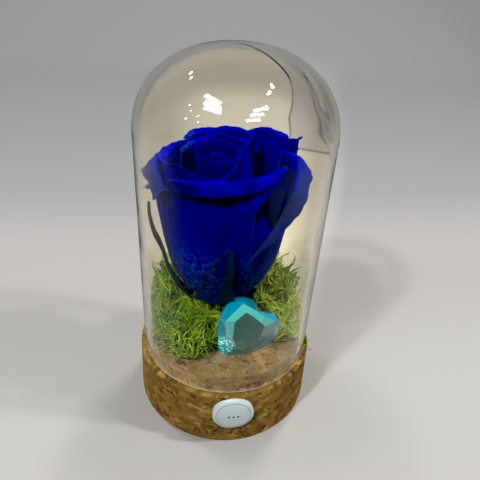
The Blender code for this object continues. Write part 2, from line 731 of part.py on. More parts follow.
# The heart's right half from its tip to its notch, and its tiers from back to table as (share of half the
# thickness, share of the outline)
HEART_OUTLINE = [(0.0, 0.0), (3.6, 3.0), (7.2, 6.9), (9.3, 11.8), (9.4, 16.4), (7.2, 20.0), (3.4, 20.9), (0.0, 18.6)]
HEART_TIERS = [(-1.0, 0.36), (-0.6, 0.74), (-0.12, 1.0), (0.16, 1.0), (0.62, 0.82), (1.0, 0.52)]


def heart_outline():
    """The heart's outline from its tip up one side and down the other."""
    half = []
    for step in range(HEART_STEPS + 1):
        half.append(curve_through(HEART_OUTLINE, step / HEART_STEPS) * MM * HEART_SCALE)
    mirrored = [(-x, y) for x, y in half[-2:0:-1]]
    return [tuple(point) for point in half] + mirrored


def heart_matrix():
    """Stand the heart's XY outline up on its tip, leaning back and to one side."""
    face = math.radians(HEART_FACING)
    lift = math.radians(HEART_LIFT)
    out = Vector((math.cos(face) * math.cos(lift), math.sin(face) * math.cos(lift), math.sin(lift)))
    across = Vector((0.0, 0.0, 1.0)).cross(out).normalized()
    frame = Matrix((across, out.cross(across), out)).transposed().to_4x4()
    return Matrix.Translation(HEART_TIP) @ frame @ Matrix.Rotation(-math.radians(HEART_ROLL), 4, "Z")


def heart_mesh(name, swell=0.0):
    """A cut gem: table, crown, girdle and pavilion, each a smaller outline than the girdle."""
    middle = Vector((0.0, HEART_MIDDLE))
    shape = bmesh.new()
    rings = []
    for share, size in HEART_TIERS:
        height = share * HEART_THICK / 2 + math.copysign(swell, share)
        ring = []
        for x, y in heart_outline():
            flat = middle + (Vector((x, y)) - middle) * size
            away = (flat - middle).normalized() * swell
            ring.append(shape.verts.new((flat.x + away.x, flat.y + away.y, height)))
        rings.append(ring)
    for low, high in zip(rings, rings[1:]):
        for index in range(len(low)):
            after = (index + 1) % len(low)
            shape.faces.new((low[index], low[after], high[after], high[index]))
    shape.faces.new(rings[0][::-1])
    shape.faces.new(rings[-1])
    bmesh.ops.triangulate(shape, faces=shape.faces)
    mesh = bpy.data.meshes.new(name)
    shape.to_mesh(mesh)
    shape.free()
    mesh.transform(heart_matrix())
    return mesh


def make_glue(group, material):
    """The blob of clear glue that the gem's tip is set in, hollowed where the gem sits."""
    mesh = bpy.data.meshes.new("glue_blob")
    shape = bmesh.new()
    bmesh.ops.create_icosphere(shape, subdivisions=2, radius=1.0)
    for vert in shape.verts:
        bump = 1.0 + 0.12 * noise.noise(vert.co * 1.3)
        vert.co = GLUE_CENTRE + Vector(vert.co * GLUE_SIZE) * bump
        vert.co.z = max(vert.co.z, PLUG_TOP + GAP)
    bmesh.ops.remove_doubles(shape, verts=shape.verts, dist=MERGE)
    shape.to_mesh(mesh)
    shape.free()
    glue = add_object("glue_blob", mesh, group, material)
    socket = add_object("glue_socket", heart_mesh("glue_socket", GAP), group)
    join_solids(glue, [socket], group, "DIFFERENCE")
    return glue


def make_label(group, cutters, material):
    """The round domed sticker on the cork's front, its back shaped to the cork."""
    profile = []
    for step in range(LABEL_STEPS + 1):
        angle = math.radians(90.0 - 90.0 * step / LABEL_STEPS)
        height = LABEL_EDGE + (LABEL_THICK - LABEL_EDGE) * math.sin(angle)
        profile.append((LABEL_RADIUS * math.cos(angle), height))
    profile += [(LABEL_RADIUS, LABEL_BACK), (0.0, LABEL_BACK)]
    label = turned("label_disc", profile, LABEL_SIDES, group, material)
    label.data = evaluated_mesh(label)
    label.modifiers.clear()
    slope = (CORK_BOTTOM_RADIUS - CORK_LEDGE_RADIUS) / CORK_LEDGE_HEIGHT
    reach = CORK_BOTTOM_RADIUS - slope * LABEL_HEIGHT + GAP
    stand = Matrix.Translation((0.0, -reach, LABEL_HEIGHT)) @ Matrix.Rotation(math.radians(90.0), 4, "X")
    label.data.transform(stand)
    mesh = bpy.data.meshes.new("label_back")
    shape = bmesh.new()
    bmesh.ops.create_cone(shape, cap_ends=True, segments=96, radius1=CORK_BOTTOM_RADIUS + GAP,
                          radius2=CORK_LEDGE_RADIUS + GAP, depth=CORK_LEDGE_HEIGHT + 2 * MM)
    bmesh.ops.translate(shape, verts=shape.verts, vec=(0.0, 0.0, CORK_LEDGE_HEIGHT / 2))
    shape.to_mesh(mesh)
    shape.free()
    body = add_object("label_back", mesh, cutters)
    body.hide_render = True
    body.display_type = "WIRE"
    cut = label.modifiers.new("back", "BOOLEAN")
    cut.operation = "DIFFERENCE"
    cut.object = body
    return label


# A scrap of moss on the ledge beside the glass: each twig's points as (angle, distance, height)
SPRIG_ROOT_RADIUS = 0.45 * MM
SPRIG_TIP_RADIUS = 0.34 * MM
SPRIG_TWIGS = [
    [(-10.5, 30.85, 22.45), (-15.0, 30.95, 22.5), (-19.0, 31.5, 22.6), (-22.5, 32.6, 22.2)],
    [(-15.0, 30.95, 22.5), (-16.2, 32.0, 23.2), (-15.8, 32.8, 23.7)],
    [(-19.0, 31.5, 22.6), (-19.4, 32.5, 23.0), (-18.4, 33.2, 23.0)],
]


def make_sprig(group, material):
    """The scrap of moss on the ledge: a curved twig with two side twigs."""
    solids = []
    for twig in SPRIG_TWIGS:
        path = [(far * MM * math.cos(math.radians(angle)), far * MM * math.sin(math.radians(angle)), high * MM)
                for angle, far, high in twig]
        mesh = twig_mesh("moss_sprig", path, SPRIG_ROOT_RADIUS, SPRIG_TIP_RADIUS)
        solids.append(add_object("moss_sprig", mesh, group))
    sprig = solids[0]
    sprig.data.materials.append(material)
    join_solids(sprig, solids[1:], group)
    sprig.name = "moss_sprig"
    return sprig


def main():
    clear_scene()
    group = make_collection("preserved_rose_dome")
    cutters = make_collection("cutters")
    make_cork(group, cutters, make_material("cork", (0.42, 0.27, 0.14), 0.9))
    make_dome(group, make_material("glass", (0.95, 0.95, 0.90), 0.05, 1.0))
    gem_teal = make_material("gem_teal", (0.05, 0.55, 0.60), 0.08, 1.0)
    others = [
        make_bloom(group, make_material("petal_blue", (0.0, 0.005, 0.30), 0.5)),
        make_stem(group, make_material("sepal_teal", (0.02, 0.05, 0.08), 0.6)),
        add_object("heart_gem", heart_mesh("heart_gem"), group, gem_teal),
        make_glue(group, make_material("glue_clear", (0.80, 0.82, 0.78), 0.2, 1.0)),
    ]
    green = make_material("moss_green", (0.16, 0.27, 0.02), 0.9)
    for name, (sector, heaps, count) in MOSS.items():
        make_moss(name, sector, heaps, count, group, green, others)
    make_label(group, cutters, make_material("label_white", (0.82, 0.82, 0.84), 0.15))
    make_sprig(group, green)


main()
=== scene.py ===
"""Preserved rose in a glass dome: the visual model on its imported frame.

Metres, +Z up, the label faces -Y. Angles are in degrees round the Z axis or round the rose's own axis.
"""
import itertools
import math

import bpy
import numpy as np
from mathutils import Matrix, Vector
from mathutils.kdtree import KDTree


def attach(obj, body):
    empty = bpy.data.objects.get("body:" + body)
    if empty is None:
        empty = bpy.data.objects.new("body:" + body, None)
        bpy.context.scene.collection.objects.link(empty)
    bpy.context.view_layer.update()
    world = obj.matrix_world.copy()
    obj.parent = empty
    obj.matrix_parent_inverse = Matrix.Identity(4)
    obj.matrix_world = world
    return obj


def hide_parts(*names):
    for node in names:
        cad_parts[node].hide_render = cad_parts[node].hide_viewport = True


MM = 0.001

# The same named sizes as the solids
CORK_BOTTOM_RADIUS = 31.9 * MM
CORK_LEDGE_RADIUS = 31.4 * MM
CORK_LEDGE_HEIGHT = 21.6 * MM
PLUG_TOP = 27.6 * MM
PLUG_RADIUS = 27.7 * MM
GLASS_RADIUS = 30.0 * MM
GLASS_WALL = 2.0 * MM
GLASS_RIM = 21.9 * MM
GLASS_SHOULDER = 99.8 * MM
CROWN_HEIGHT = 24.5 * MM
CROWN_POWER = 2.16
ROSE_BASE = Vector((-3.8, -3.0, 41.0)) * MM
ROSE_LEAN = Vector((1.6, 1.8, 51.0)) * MM
BOWL_RADIUS = 18.6 * MM
BOWL_START = 3.1 * MM
BOWL_HEIGHT = 25.0 * MM
SPREAD_FROM = 0.78
FOOT_SPREAD = 0.6
STEM_DEPTH = 7.7 * MM
HEART_TIP = Vector((-3.1, -19.6, 28.9)) * MM
HEART_FACING = -82.0
HEART_LIFT = 8.0
HEART_ROLL = 39.0
HEART_THICK = 5.8 * MM
LABEL_HEIGHT = 15.0 * MM
LABEL_BACK = 31.86 * MM

# The photograph's camera
CAMERA_PLACE = Vector((-16.33, -128.34, 141.54)) * MM
CAMERA_RIGHT = Vector((0.9915, -0.1162, 0.0577))
CAMERA_UP = Vector((0.0117, 0.5228, 0.8524))
CAMERA_AHEAD = Vector((0.1292, 0.8445, -0.5197))
FOCAL_PIXELS = 450.0
PICTURE = 480

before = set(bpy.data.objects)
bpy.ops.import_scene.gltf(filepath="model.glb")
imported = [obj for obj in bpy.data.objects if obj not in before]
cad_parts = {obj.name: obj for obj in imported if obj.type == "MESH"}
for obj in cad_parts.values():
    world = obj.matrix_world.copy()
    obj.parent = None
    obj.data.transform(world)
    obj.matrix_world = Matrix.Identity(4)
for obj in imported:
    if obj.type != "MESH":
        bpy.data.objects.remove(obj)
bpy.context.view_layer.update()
chance = np.random.default_rng(29)


# Numbers and shapes

def smooth_step(value):
    """Rise from 0 to 1 with level ends."""
    value = np.clip(value, 0.0, 1.0)
    return value * value * (3.0 - 2.0 * value)


def lattice(x, y, z, seed):
    """A repeatable random number from 0 to 1 for whole-number places."""
    mixed = (x * 374761393 + y * 668265263 + z * 1274126177 + seed * 974634777) & 0xFFFFFFFF
    mixed = ((mixed ^ (mixed >> 13)) * 1103515245) & 0xFFFFFFFF
    mixed = ((mixed ^ (mixed >> 16)) * 2246822519) & 0xFFFFFFFF
    return (mixed ^ (mixed >> 15)) / 4294967296.0


def soft_noise(points, seed=0):
    """Smooth noise from -1 to 1 at points."""
    points = np.asarray(points, float)
    cell = np.floor(points).astype(np.int64)
    part = points - cell
    part = part * part * (3.0 - 2.0 * part)
    total = np.zeros(points.shape[:-1])
    for corner in itertools.product((0, 1), repeat=3):
        weight = np.prod(np.where(corner, part, 1 - part), axis=-1)
        total += weight * lattice(*np.moveaxis(cell + corner, -1, 0), seed)
    return 2.0 * total - 1.0


def rough_noise(points, seed=0, octaves=3):
    """Noise of several sizes added up."""
    total = 0.0
    for octave in range(octaves):
        total = total + soft_noise(np.asarray(points) * 2.0 ** octave, seed + octave) / 2.0 ** octave
    return total


def curve_through(points, share):
    """Points at shares of the way along a smooth curve through points."""
    points = np.asarray(points, float)
    share = np.clip(np.asarray(share, float), 0.0, 1.0)
    spans = len(points) - 1
    place = share * spans
    index = np.minimum(place.astype(int), spans - 1)
    step = (place - index)[..., None]
    before, start = points[np.maximum(index - 1, 0)], points[index]
    end, after = points[index + 1], points[np.minimum(index + 2, spans)]
    return 0.5 * (2 * start + (end - before) * step + (2 * before - 5 * start + 4 * end - after) * step ** 2
                  + (3 * start - before - 3 * end + after) * step ** 3)


def vectors(*parts):
    """Vectors from their coordinates, which are spread over one grid."""
    return np.stack(np.broadcast_arrays(*parts), axis=-1)


def polar(radius, angle, height):
    """Points from their distance from an axis, their angle round it and their height."""
    return vectors(radius * np.cos(angle), radius * np.sin(angle), height)


def unit(ways):
    """Vectors brought to length one."""
    return ways / np.maximum(np.linalg.norm(ways, axis=-1, keepdims=True), 1e-9)


def circle(count):
    """Angles all the way round."""
    return np.linspace(0.0, 2.0 * math.pi, count, endpoint=False)


def ball_points(turn, count):
    """A ball's points, its rows at turns from the top."""
    return polar(np.sin(turn), circle(count), np.cos(turn))


def grid_faces(rows, columns, closed=False):
    """Quads through a grid of rows by columns points, which face out when closed rows go down an outside."""
    row = np.arange(rows - 1)[:, None]
    column = np.arange(columns if closed else columns - 1)[None, :]
    after = (column + 1) % columns
    return vectors(row * columns + column, (row + 1) * columns + column, (row + 1) * columns + after,
                   row * columns + after).reshape(-1, 4)


def joined(parts):
    """One mesh from several, each given as its points, its faces and then its layers."""
    offset, moved = 0, []
    for points, faces, *layers in parts:
        moved.append((points, faces + offset, *layers))
        offset += len(points)
    return [np.concatenate(column) for column in zip(*moved)]


def placed(points, matrix):
    """Points moved by a matrix."""
    matrix = np.array(matrix)
    return np.asarray(points) @ matrix[:3, :3].T + matrix[:3, 3]


def new_object(name, data):
    """An object in the scene."""
    item = bpy.data.objects.new(name, data)
    bpy.context.scene.collection.objects.link(item)
    return item


def mesh_object(name, points, faces, material, body="root", smooth=True, **layers):
    """An object from points and faces, with number pairs per point or per face corner kept as UV layers."""
    points = np.asarray(points, float).reshape(-1, 3)
    faces = np.asarray(faces, np.int32)
    mesh = bpy.data.meshes.new(name)
    mesh.vertices.add(len(points))
    mesh.vertices.foreach_set("co", points.ravel())
    mesh.loops.add(faces.size)
    mesh.loops.foreach_set("vertex_index", faces.ravel())
    mesh.polygons.add(len(faces))
    mesh.polygons.foreach_set("loop_start", np.arange(0, faces.size, faces.shape[1], dtype=np.int32))
    for key, pairs in layers.items():
        pairs = np.asarray(pairs, float).reshape(-1, 2)
        corners = pairs if len(pairs) == faces.size else pairs[faces.ravel()]
        mesh.uv_layers.new(name=key).data.foreach_set("uv", corners.ravel())
    mesh.update(calc_edges=True)
    mesh.validate()
    mesh.polygons.foreach_set("use_smooth", np.full(len(mesh.polygons), smooth))
    mesh.materials.append(material)
    item = new_object(name, mesh)
    if body:
        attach(item, body)
    return item


def thicken(item, thickness):
    """Give a sheet its thickness."""
    solid = item.modifiers.new("thick", "SOLIDIFY")
    solid.thickness = thickness
    solid.offset = 0.0


# Material nodes. Most of these functions find the node tree from the sockets that they are given.

def is_socket(value):
    """Whether a value is a node's socket."""
    return isinstance(value, bpy.types.NodeSocket)


def feed(made, **inputs):
    """Set or link a node's inputs, each by its name or by an i with its number."""
    for key, value in inputs.items():
        socket = made.inputs[int(key[1:]) if key[1:].isdigit() else key.replace("_", " ")]
        if is_socket(value):
            made.id_data.links.new(value, socket)
        else:
            socket.default_value = value
    return made


def new_material(name, **values):
    """A material with its node tree and its Principled shader."""
    material = bpy.data.materials.new(name)
    material.use_nodes = True
    tree = material.node_tree
    return material, tree, feed(tree.nodes["Principled BSDF"], **values)


def node(tree, kind, props=None, **inputs):
    """A node with its properties and inputs set or linked."""
    made = tree.nodes.new("ShaderNode" + kind)
    for key, value in (props or {}).items():
        setattr(made, key, value)
    return feed(made, **inputs)


def node_with(sockets, kind, props=None, **inputs):
    """A node in the tree that the sockets among some values belong to."""
    return node(next(value.id_data for value in sockets if is_socket(value)), kind, props, **inputs)


def mix(factor, first, second, blend="MIX"):
    """Two colours mixed."""
    first, second = (value if is_socket(value) else (*value, 1.0) for value in (first, second))
    return node_with((factor, first, second), "Mix", {"data_type": "RGBA", "blend_type": blend, "clamp_factor": True},
                     i0=factor, i6=first, i7=second).outputs[2]


def painted(colour, *coats):
    """A colour under coats of others, each given as how much of it there is, its colour and how it blends."""
    for factor, coat, *blend in coats:
        colour = mix(factor, colour, coat, *blend)
    return colour


def maths(operation, first, second=0.0):
    """One sum on two values."""
    return node_with((first, second), "Math", {"operation": operation}, i0=first, i1=second).outputs[0]


def times(first, second):
    """One value times another."""
    return maths("MULTIPLY", first, second)


def away_from(value, middle):
    """How far a value is from a middle one, either way."""
    return maths("ABSOLUTE", maths("SUBTRACT", value, middle))


def spread(value, low, high, to_low=0.0, to_high=1.0):
    """A value moved from one range to another, held inside it."""
    return node(value.id_data, "MapRange", {"clamp": True}, i0=value, i1=low, i2=high, i3=to_low, i4=to_high).outputs[0]


def split(vector):
    """A vector's three numbers."""
    return node(vector.id_data, "SeparateXYZ", i0=vector).outputs[:3]


def layer(tree, name):
    """A UV layer's pair of numbers, as a vector."""
    return node(tree, "UVMap", {"uv_map": name}).outputs[0]


def texture_place(tree, scale=(1.0, 1.0, 1.0), source=None):
    """The object's or other coordinates, stretched."""
    return node(tree, "Mapping", i0=source or node(tree, "TexCoord").outputs["Object"], i3=scale).outputs[0]


def distance_to(point, place):
    """How far a place is from a point."""
    return node(place.id_data, "VectorMath", {"operation": "DISTANCE"}, i0=place, i1=point).outputs["Value"]


def clouds(place, scale, detail=3.0, roughness=0.5):
    """A noise texture's value."""
    return node(place.id_data, "TexNoise", Vector=place, Scale=scale, Detail=detail, Roughness=roughness).outputs[0]


def bumped(shader, height, strength, distance):
    """Bump from a height."""
    bump = node(shader.id_data, "Bump", Strength=strength, Distance=distance, Height=height)
    feed(shader, Normal=bump.outputs[0])


def clear_shadow(shader, slant=(0.97, 0.965, 0.95)):
    """Let lamps through a glass shader, so that what is inside is lit; a slanting ray keeps less of its light."""
    tree = shader.id_data
    facing = node(tree, "LayerWeight", Blend=0.2).outputs["Facing"]
    lets = node(tree, "BsdfTransparent", Color=mix(facing, (0.94, 0.935, 0.92), slant))
    both = node(tree, "MixShader", i0=node(tree, "LightPath").outputs["Is Shadow Ray"], i1=shader.outputs[0],
                i2=lets.outputs[0])
    feed(tree.nodes["Material Output"], Surface=both.outputs[0])


# Camera, floor and lights

FLOOR_HALF = 2.0
FLOOR_NEAR = -1.2
SWEEP_START = 0.55
SWEEP_RADIUS = 0.30
SWEEP_TOP = 1.6
WINDOW_FAR = 0.75
WARM_FAR = 1.1
LAMP_FAR = 1.2
LAMP_TARGET = Vector((0.0, 0.0, 0.06))
DAYLIGHT = (0.94, 0.97, 1.0)
SPARKLE_BLUE = (0.6, 0.8, 1.0)
WARM = (1.0, 0.90, 0.74)
NEARLY_WHITE = (1.0, 0.98, 0.95)


def make_camera():
    """The photograph's camera."""
    data = bpy.data.cameras.new("camera")
    data.sensor_width = 36.0
    data.lens = 36.0 * FOCAL_PIXELS / PICTURE
    data.clip_start = 0.01
    data.clip_end = 20.0
    item = new_object("camera", data)
    turn = Matrix((CAMERA_RIGHT, CAMERA_UP, -CAMERA_AHEAD)).transposed().to_4x4()
    item.matrix_world = Matrix.Translation(CAMERA_PLACE) @ turn
    bpy.context.scene.camera = item


def floor_material():
    """A pale floor, in tones by depth that are painted shade of the light falling off, with a painted pool of light
    behind the dome that shows through the glass.
    """
    material, tree, shader = new_material("floor_pale", Roughness=0.62, Specular_IOR_Level=0.25)
    place = texture_place(tree)
    sideways, depth, _ = split(place)
    # the tones by depth are painted light: darker farther back as the light falls off, a little lighter again up the
    # sweep
    colour = painted(
        mix(spread(clouds(place, 9.0, 2.0), 0.3, 0.7), (0.384, 0.379, 0.362), (0.408, 0.403, 0.387)),
        (spread(depth, 0.0, 0.055), (0.362, 0.353, 0.344)), (spread(depth, 0.10, 0.17), (0.289, 0.288, 0.288)),
        (spread(depth, 0.17, 0.28), (0.267, 0.267, 0.271)), (spread(depth, 0.45, 0.62), (0.286, 0.286, 0.290)))
    # the painted pool of light keeps to a wedge from below the camera, so that it stays behind the dome
    aside = maths("DIVIDE", maths("SUBTRACT", sideways, times(depth, 0.153)), maths("ADD", depth, 0.126))
    aside = maths("SUBTRACT", aside, spread(depth, 0.20, 0.45, 0.035, 0.0))
    inside = maths("SUBTRACT", spread(depth, 0.20, 0.45, 0.245, 0.22), maths("ABSOLUTE", aside))
    painted_light_pool = times(times(spread(inside, 0.0, 0.12), spread(depth, 0.0, 0.07)), spread(depth, 0.66, 0.50))
    # painted light: the floor's colour made brighter inside the pool
    lit = mix(1.0, colour, (1.66, 1.65, 1.60), "MULTIPLY")
    feed(shader, Base_Color=mix(painted_light_pool, colour, lit))
    return material


def make_floor():
    """The floor, which rises behind as a plain sweep."""
    profile = [(FLOOR_NEAR, 0.0), (SWEEP_START, 0.0)]
    for turn in np.radians(np.linspace(7.5, 90.0, 12)):
        profile.append((SWEEP_START + SWEEP_RADIUS * math.sin(turn), SWEEP_RADIUS * (1.0 - math.cos(turn))))
    profile.append((SWEEP_START + SWEEP_RADIUS, SWEEP_TOP))
    points = [[(x, y, z) for x in (-FLOOR_HALF, 0.0, FLOOR_HALF)] for y, z in profile]
    floor = mesh_object("floor", points, grid_faces(len(profile), 3), floor_material(), body=None)
    floor.visible_glossy = False


def add_light(name, place, target, size, power, colour):
    """A square or oblong soft lamp that points at a target."""
    data = bpy.data.lights.new(name, "AREA")
    data.shape = "RECTANGLE"
    data.size, data.size_y = size
    data.energy = power
    data.color = colour
    item = new_object(name, data)
    item.location = place
    item.rotation_euler = (target - item.location).to_track_quat("-Z", "Y").to_euler()
    item.visible_transmission = False
    return item


def crown_share(share):
    """The dome's radius at a share of its crown's height, as a share of the wall's."""
    return np.maximum(1.0 - np.asarray(share) ** CROWN_POWER, 0.0) ** (1.0 / CROWN_POWER)


def seen_in_glass(x, y):
    """The point on the dome's outside that a pixel of the photograph shows, and its mirrored line of sight."""
    sight = CAMERA_RIGHT * (x - PICTURE / 2) - CAMERA_UP * (y - PICTURE / 2) + CAMERA_AHEAD * FOCAL_PIXELS
    sight.normalize()

    def outside(point):
        """How far a point is outside the dome, or below 0 inside it."""
        share = max(point.z - GLASS_SHOULDER, 0.0) / CROWN_HEIGHT
        return math.hypot(point.x, point.y) - GLASS_RADIUS * float(crown_share(min(share, 1.0))) + max(share - 1.0, 0.0)

    far, farthest, stride, step = 0.0, 0.4, 0.0002, 0.0003
    while outside(CAMERA_PLACE + sight * far) > 0.0 and far < farthest:
        far += stride
    point = CAMERA_PLACE + sight * far
    slope = Vector([outside(point + axis) - outside(point - axis) for axis in Matrix.Identity(3) * step]).normalized()
    return point, sight - 2.0 * sight.dot(slope) * slope


def mirrored_lamp(name, pixel, distance, size, power, colour):
    """A lamp placed so that the dome mirrors it at a pixel of the photograph, and that lights nothing else."""
    point, way = seen_in_glass(*pixel)
    add_light(name, point + way * distance, point, size, power, colour).visible_diffuse = False


def lamp_at(name, azimuth, elevation, size, power, colour=(1.0, 1.0, 1.0)):
    """A lamp in a direction from the dome that lights without being mirrored in it."""
    turn, lift = math.radians(azimuth), math.radians(elevation)
    way = Vector((math.cos(turn) * math.cos(lift), math.sin(turn) * math.cos(lift), math.sin(lift)))
    add_light(name, LAMP_TARGET + way * LAMP_FAR, LAMP_TARGET, (size, size), power, colour).visible_glossy = False


def make_world():
    """A pale room, darker on the side that the front of the glass mirrors."""
    world = bpy.data.worlds.new("room")
    world.use_nodes = True
    tree = world.node_tree
    _, way_y, way_z = split(node(tree, "TexCoord").outputs["Generated"])
    sky = mix(spread(way_z, -0.05, 0.5), (0.60, 0.60, 0.57), (0.86, 0.88, 0.92))
    sky = mix(spread(way_y, -0.10, -0.50), sky, (0.10, 0.10, 0.105))
    feed(tree.nodes["Background"], Color=sky, Strength=0.36)
    bpy.context.scene.world = world


def make_lights():
    """A pale room, what the dome mirrors in it (two windows of three strips each, five sparkles, four warm lamps)
    and four soft lamps that light the rest."""
    make_world()
    for index, shift in enumerate((-5.5, 0.5, 5.0)):
        mirrored_lamp("window_left_%d" % index, (213, 105 + shift), WINDOW_FAR, (0.25, 0.075), 2.2, DAYLIGHT)
    for index, shift in enumerate((-6, -0.5, 5)):
        pixel = (257 - shift * 0.7, 115 + shift)
        mirrored_lamp("window_right_%d" % index, pixel, WINDOW_FAR, (0.19, 0.055), 1.6, DAYLIGHT)
    for index, pixel in enumerate(((190, 105), (191, 111), (198, 116), (198, 122), (186, 118))):
        mirrored_lamp("sparkle_%d" % index, pixel, WINDOW_FAR, (0.026, 0.026), 0.16, SPARKLE_BLUE)
    for name, pixel in (("warm_left", (191, 73)), ("warm_left_low", (191, 78))):
        mirrored_lamp(name, pixel, WARM_FAR, (0.09, 0.035), 0.30, WARM)
    for name, pixel in (("warm_right", (272, 86)), ("warm_right_low", (269, 93))):
        mirrored_lamp(name, pixel, WARM_FAR, (0.12, 0.045), 1.5, WARM)
    lamp_at("lamp_front_left", -138.0, 47.0, 0.07, 9.6)
    lamp_at("lamp_right", -14.0, 46.0, 0.07, 8.0, NEARLY_WHITE)
    lamp_at("lamp_over_right", 55.0, 67.0, 0.12, 5.8, NEARLY_WHITE)
    lamp_at("lamp_over_back", 137.0, 67.0, 0.12, 3.8, NEARLY_WHITE)


# Cork

CORK_AROUND = 560
GRANULES = 9000
GRANULE_HALF_WIDTH = 0.034
GRANULE_HEIGHTS = (-0.004, 0.046)
GRANULE_RAGGED = 0.0009
GRANULE_EDGE = 0.0011
TONE_RELIEF = 0.00010
FINE_RELIEF = 0.00006
PIT_DEPTH = 0.00028
HOLE_DEPTH = 0.00045


def cork_profile():
    """The cork's outline from the plug's middle to the underside, as (radius, height, how much it is worn)."""
    points = [(radius, PLUG_TOP, 1.0) for radius in np.linspace(0.0006, PLUG_RADIUS - 0.0008, 42)]
    points += [(PLUG_RADIUS - 0.0003, PLUG_TOP - 0.0003, 0.6), (PLUG_RADIUS - 0.0001, PLUG_TOP - 0.0009, 0.3)]
    points += [(PLUG_RADIUS - 0.0001, height, 0.1)
               for height in np.linspace(PLUG_TOP - 0.0016, CORK_LEDGE_HEIGHT + 0.0001, 7)]
    points += [(radius, CORK_LEDGE_HEIGHT, 0.2) for radius in np.linspace(PLUG_RADIUS + 0.0003, GLASS_RADIUS, 5)]
    points += [(radius, CORK_LEDGE_HEIGHT, 1.0)
               for radius in np.linspace(GLASS_RADIUS + 0.0003, CORK_LEDGE_RADIUS - 0.0004, 5)]
    points += [(CORK_LEDGE_RADIUS - 0.0001, CORK_LEDGE_HEIGHT - 0.0001, 1.0)]
    for height in np.linspace(CORK_LEDGE_HEIGHT - 0.0005, 0.0007, 70):
        share = height / CORK_LEDGE_HEIGHT
        points.append((CORK_BOTTOM_RADIUS + (CORK_LEDGE_RADIUS - CORK_BOTTOM_RADIUS) * share, height, 1.0))
    points += [(CORK_BOTTOM_RADIUS - 0.0002, 0.0002, 0.5), (CORK_BOTTOM_RADIUS - 0.0008, 0.0, 0.0), (0.0, 0.0, 0.0)]
    return np.array(points)


def granules(flat):
    """Each place's granule tone and how near it is to the granule's edge, in a pattern of scattered ragged seeds."""
    bent = flat + GRANULE_RAGGED * vectors(*(rough_noise(flat * 420, seed) for seed in (3, 5, 7)))
    bent[:, 2] *= 1.5
    wide, (low, high) = GRANULE_HALF_WIDTH, GRANULE_HEIGHTS
    seeds = chance.uniform((-wide, -wide, low), (wide, wide, high), (GRANULES, 3))
    seeds = seeds[(np.hypot(seeds[:, 0], seeds[:, 1]) > 0.0235) | (seeds[:, 2] > 0.036)]
    tree = KDTree(len(seeds))
    for index, seed in enumerate(seeds):
        tree.insert(seed, index)
    tree.balance()
    found = [tree.find_n(point, 2) for point in bent]
    owner = np.array([first[1] for first, _ in found])
    gap = np.array([second[2] - first[2] for first, second in found])
    return chance.random(len(seeds))[owner], np.clip(gap / GRANULE_EDGE, 0.0, 1.0)


def make_cork():
    """The pressed cork: granules with dark pits between them, in relief."""
    profile = cork_profile()
    angle = circle(CORK_AROUND)
    radius, height, worn = profile.T[:, :, None]
    flat = polar(radius, angle, height).reshape(-1, 3)
    slope = np.gradient(profile[:, :2], axis=0)
    normal = unit(vectors(-slope[:, 1], slope[:, 0]))
    out = polar(normal[:, :1], angle, normal[:, 1:]).reshape(-1, 3)
    tone, edge = granules(flat)
    deep = smooth_step((rough_noise(flat * 260, 11) - 0.05) / 0.5)
    pits = (1.0 - smooth_step(edge / 0.5)) * deep
    holes = smooth_step((rough_noise(flat * 700, 17, 2) - 0.80) / 0.25)
    relief = TONE_RELIEF * (tone - 0.5) + FINE_RELIEF * rough_noise(flat * 1500, 23, 2)
    relief = np.minimum(relief - PIT_DEPTH * pits - HOLE_DEPTH * holes, FINE_RELIEF)
    worn = (worn + 0.0 * angle).reshape(-1)
    moved = flat + out * (relief * worn)[:, None]
    faces = grid_faces(len(profile), CORK_AROUND, closed=True)
    item = mesh_object("cork", moved, faces, cork_material(), grain=vectors(tone, np.maximum(pits, holes)))
    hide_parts("cork_base")


def cork_material():
    """Cork in tans and browns by granule, with dark flecks; paler and less flecked where the glass covers it, as
    painted haze of the glass's reflection over it, and paler still on the plug's side as painted light.
    """
    material, tree, shader = new_material("cork_granules", Roughness=0.86, Specular_IOR_Level=0.2)
    tone, dark, _ = split(layer(tree, "grain"))
    place = texture_place(tree)
    speckle = clouds(place, 900.0, 4.0, 0.6)
    fleck = clouds(texture_place(tree, (1.0, 1.0, 1.8)), 520.0, 2.0, 0.5)
    height = split(place)[2]
    outer = mix(tone, (0.160, 0.088, 0.008), (0.342, 0.205, 0.034))
    outer = mix(spread(tone, 0.88, 0.98), outer, (0.43, 0.305, 0.085))
    inner = mix(tone, (0.360, 0.236, 0.092), (0.565, 0.400, 0.200))
    # painted light: the plug's side below its top is brightened
    bright = mix(1.0, inner, (2.15, 2.15, 2.15), "MULTIPLY")
    inner = mix(spread(height, 0.0272, 0.0264), inner, bright)
    open_air = spread(height, 0.0222, 0.0216, 0.75, 1.0)
    colour = painted(
        mix(spread(height, 0.0216, 0.0222), outer, inner),
        (times(spread(speckle, 0.46, 0.74, 0.0, 0.75), open_air), (0.15, 0.070, 0.014)),
        (times(spread(fleck, 0.62, 0.70, 0.0, 0.85), open_air), (0.070, 0.031, 0.008)),
        (times(spread(dark, 0.15, 0.9, 0.0, 0.9), open_air), (0.050, 0.022, 0.005)))
    feed(shader, Base_Color=colour)
    bumped(shader, speckle, 0.5, 0.0003)
    return material


# Glass dome

GLASS_AROUND = 400
DOME_MIDDLE = (0.0, 0.0, 0.08)
BROAD_SWELL = 0.00012
FINE_SWELL = 0.00002

# The thick patch's left side and ridge as (height, angle), and its foot as (angle, height)
FLAW_SIDE = [
    (100.0, -69.4), (105.8, -69.4), (112.2, -68.1), (116.8, -59.6), (119.4, -54.8), (121.4, -53.8), (122.8, -53.4)]
FLAW_RIDGE = [(103.6, -33.0), (108.0, -38.0), (113.0, -42.0), (116.0, -38.0), (119.3, -32.1), (122.0, -28.0)]
FLAW_FOOT = [(-80.0, 106.4), (-69.4, 105.8), (-62.3, 105.2), (-51.7, 103.7), (-34.4, 100.9), (0.0, 99.0)]


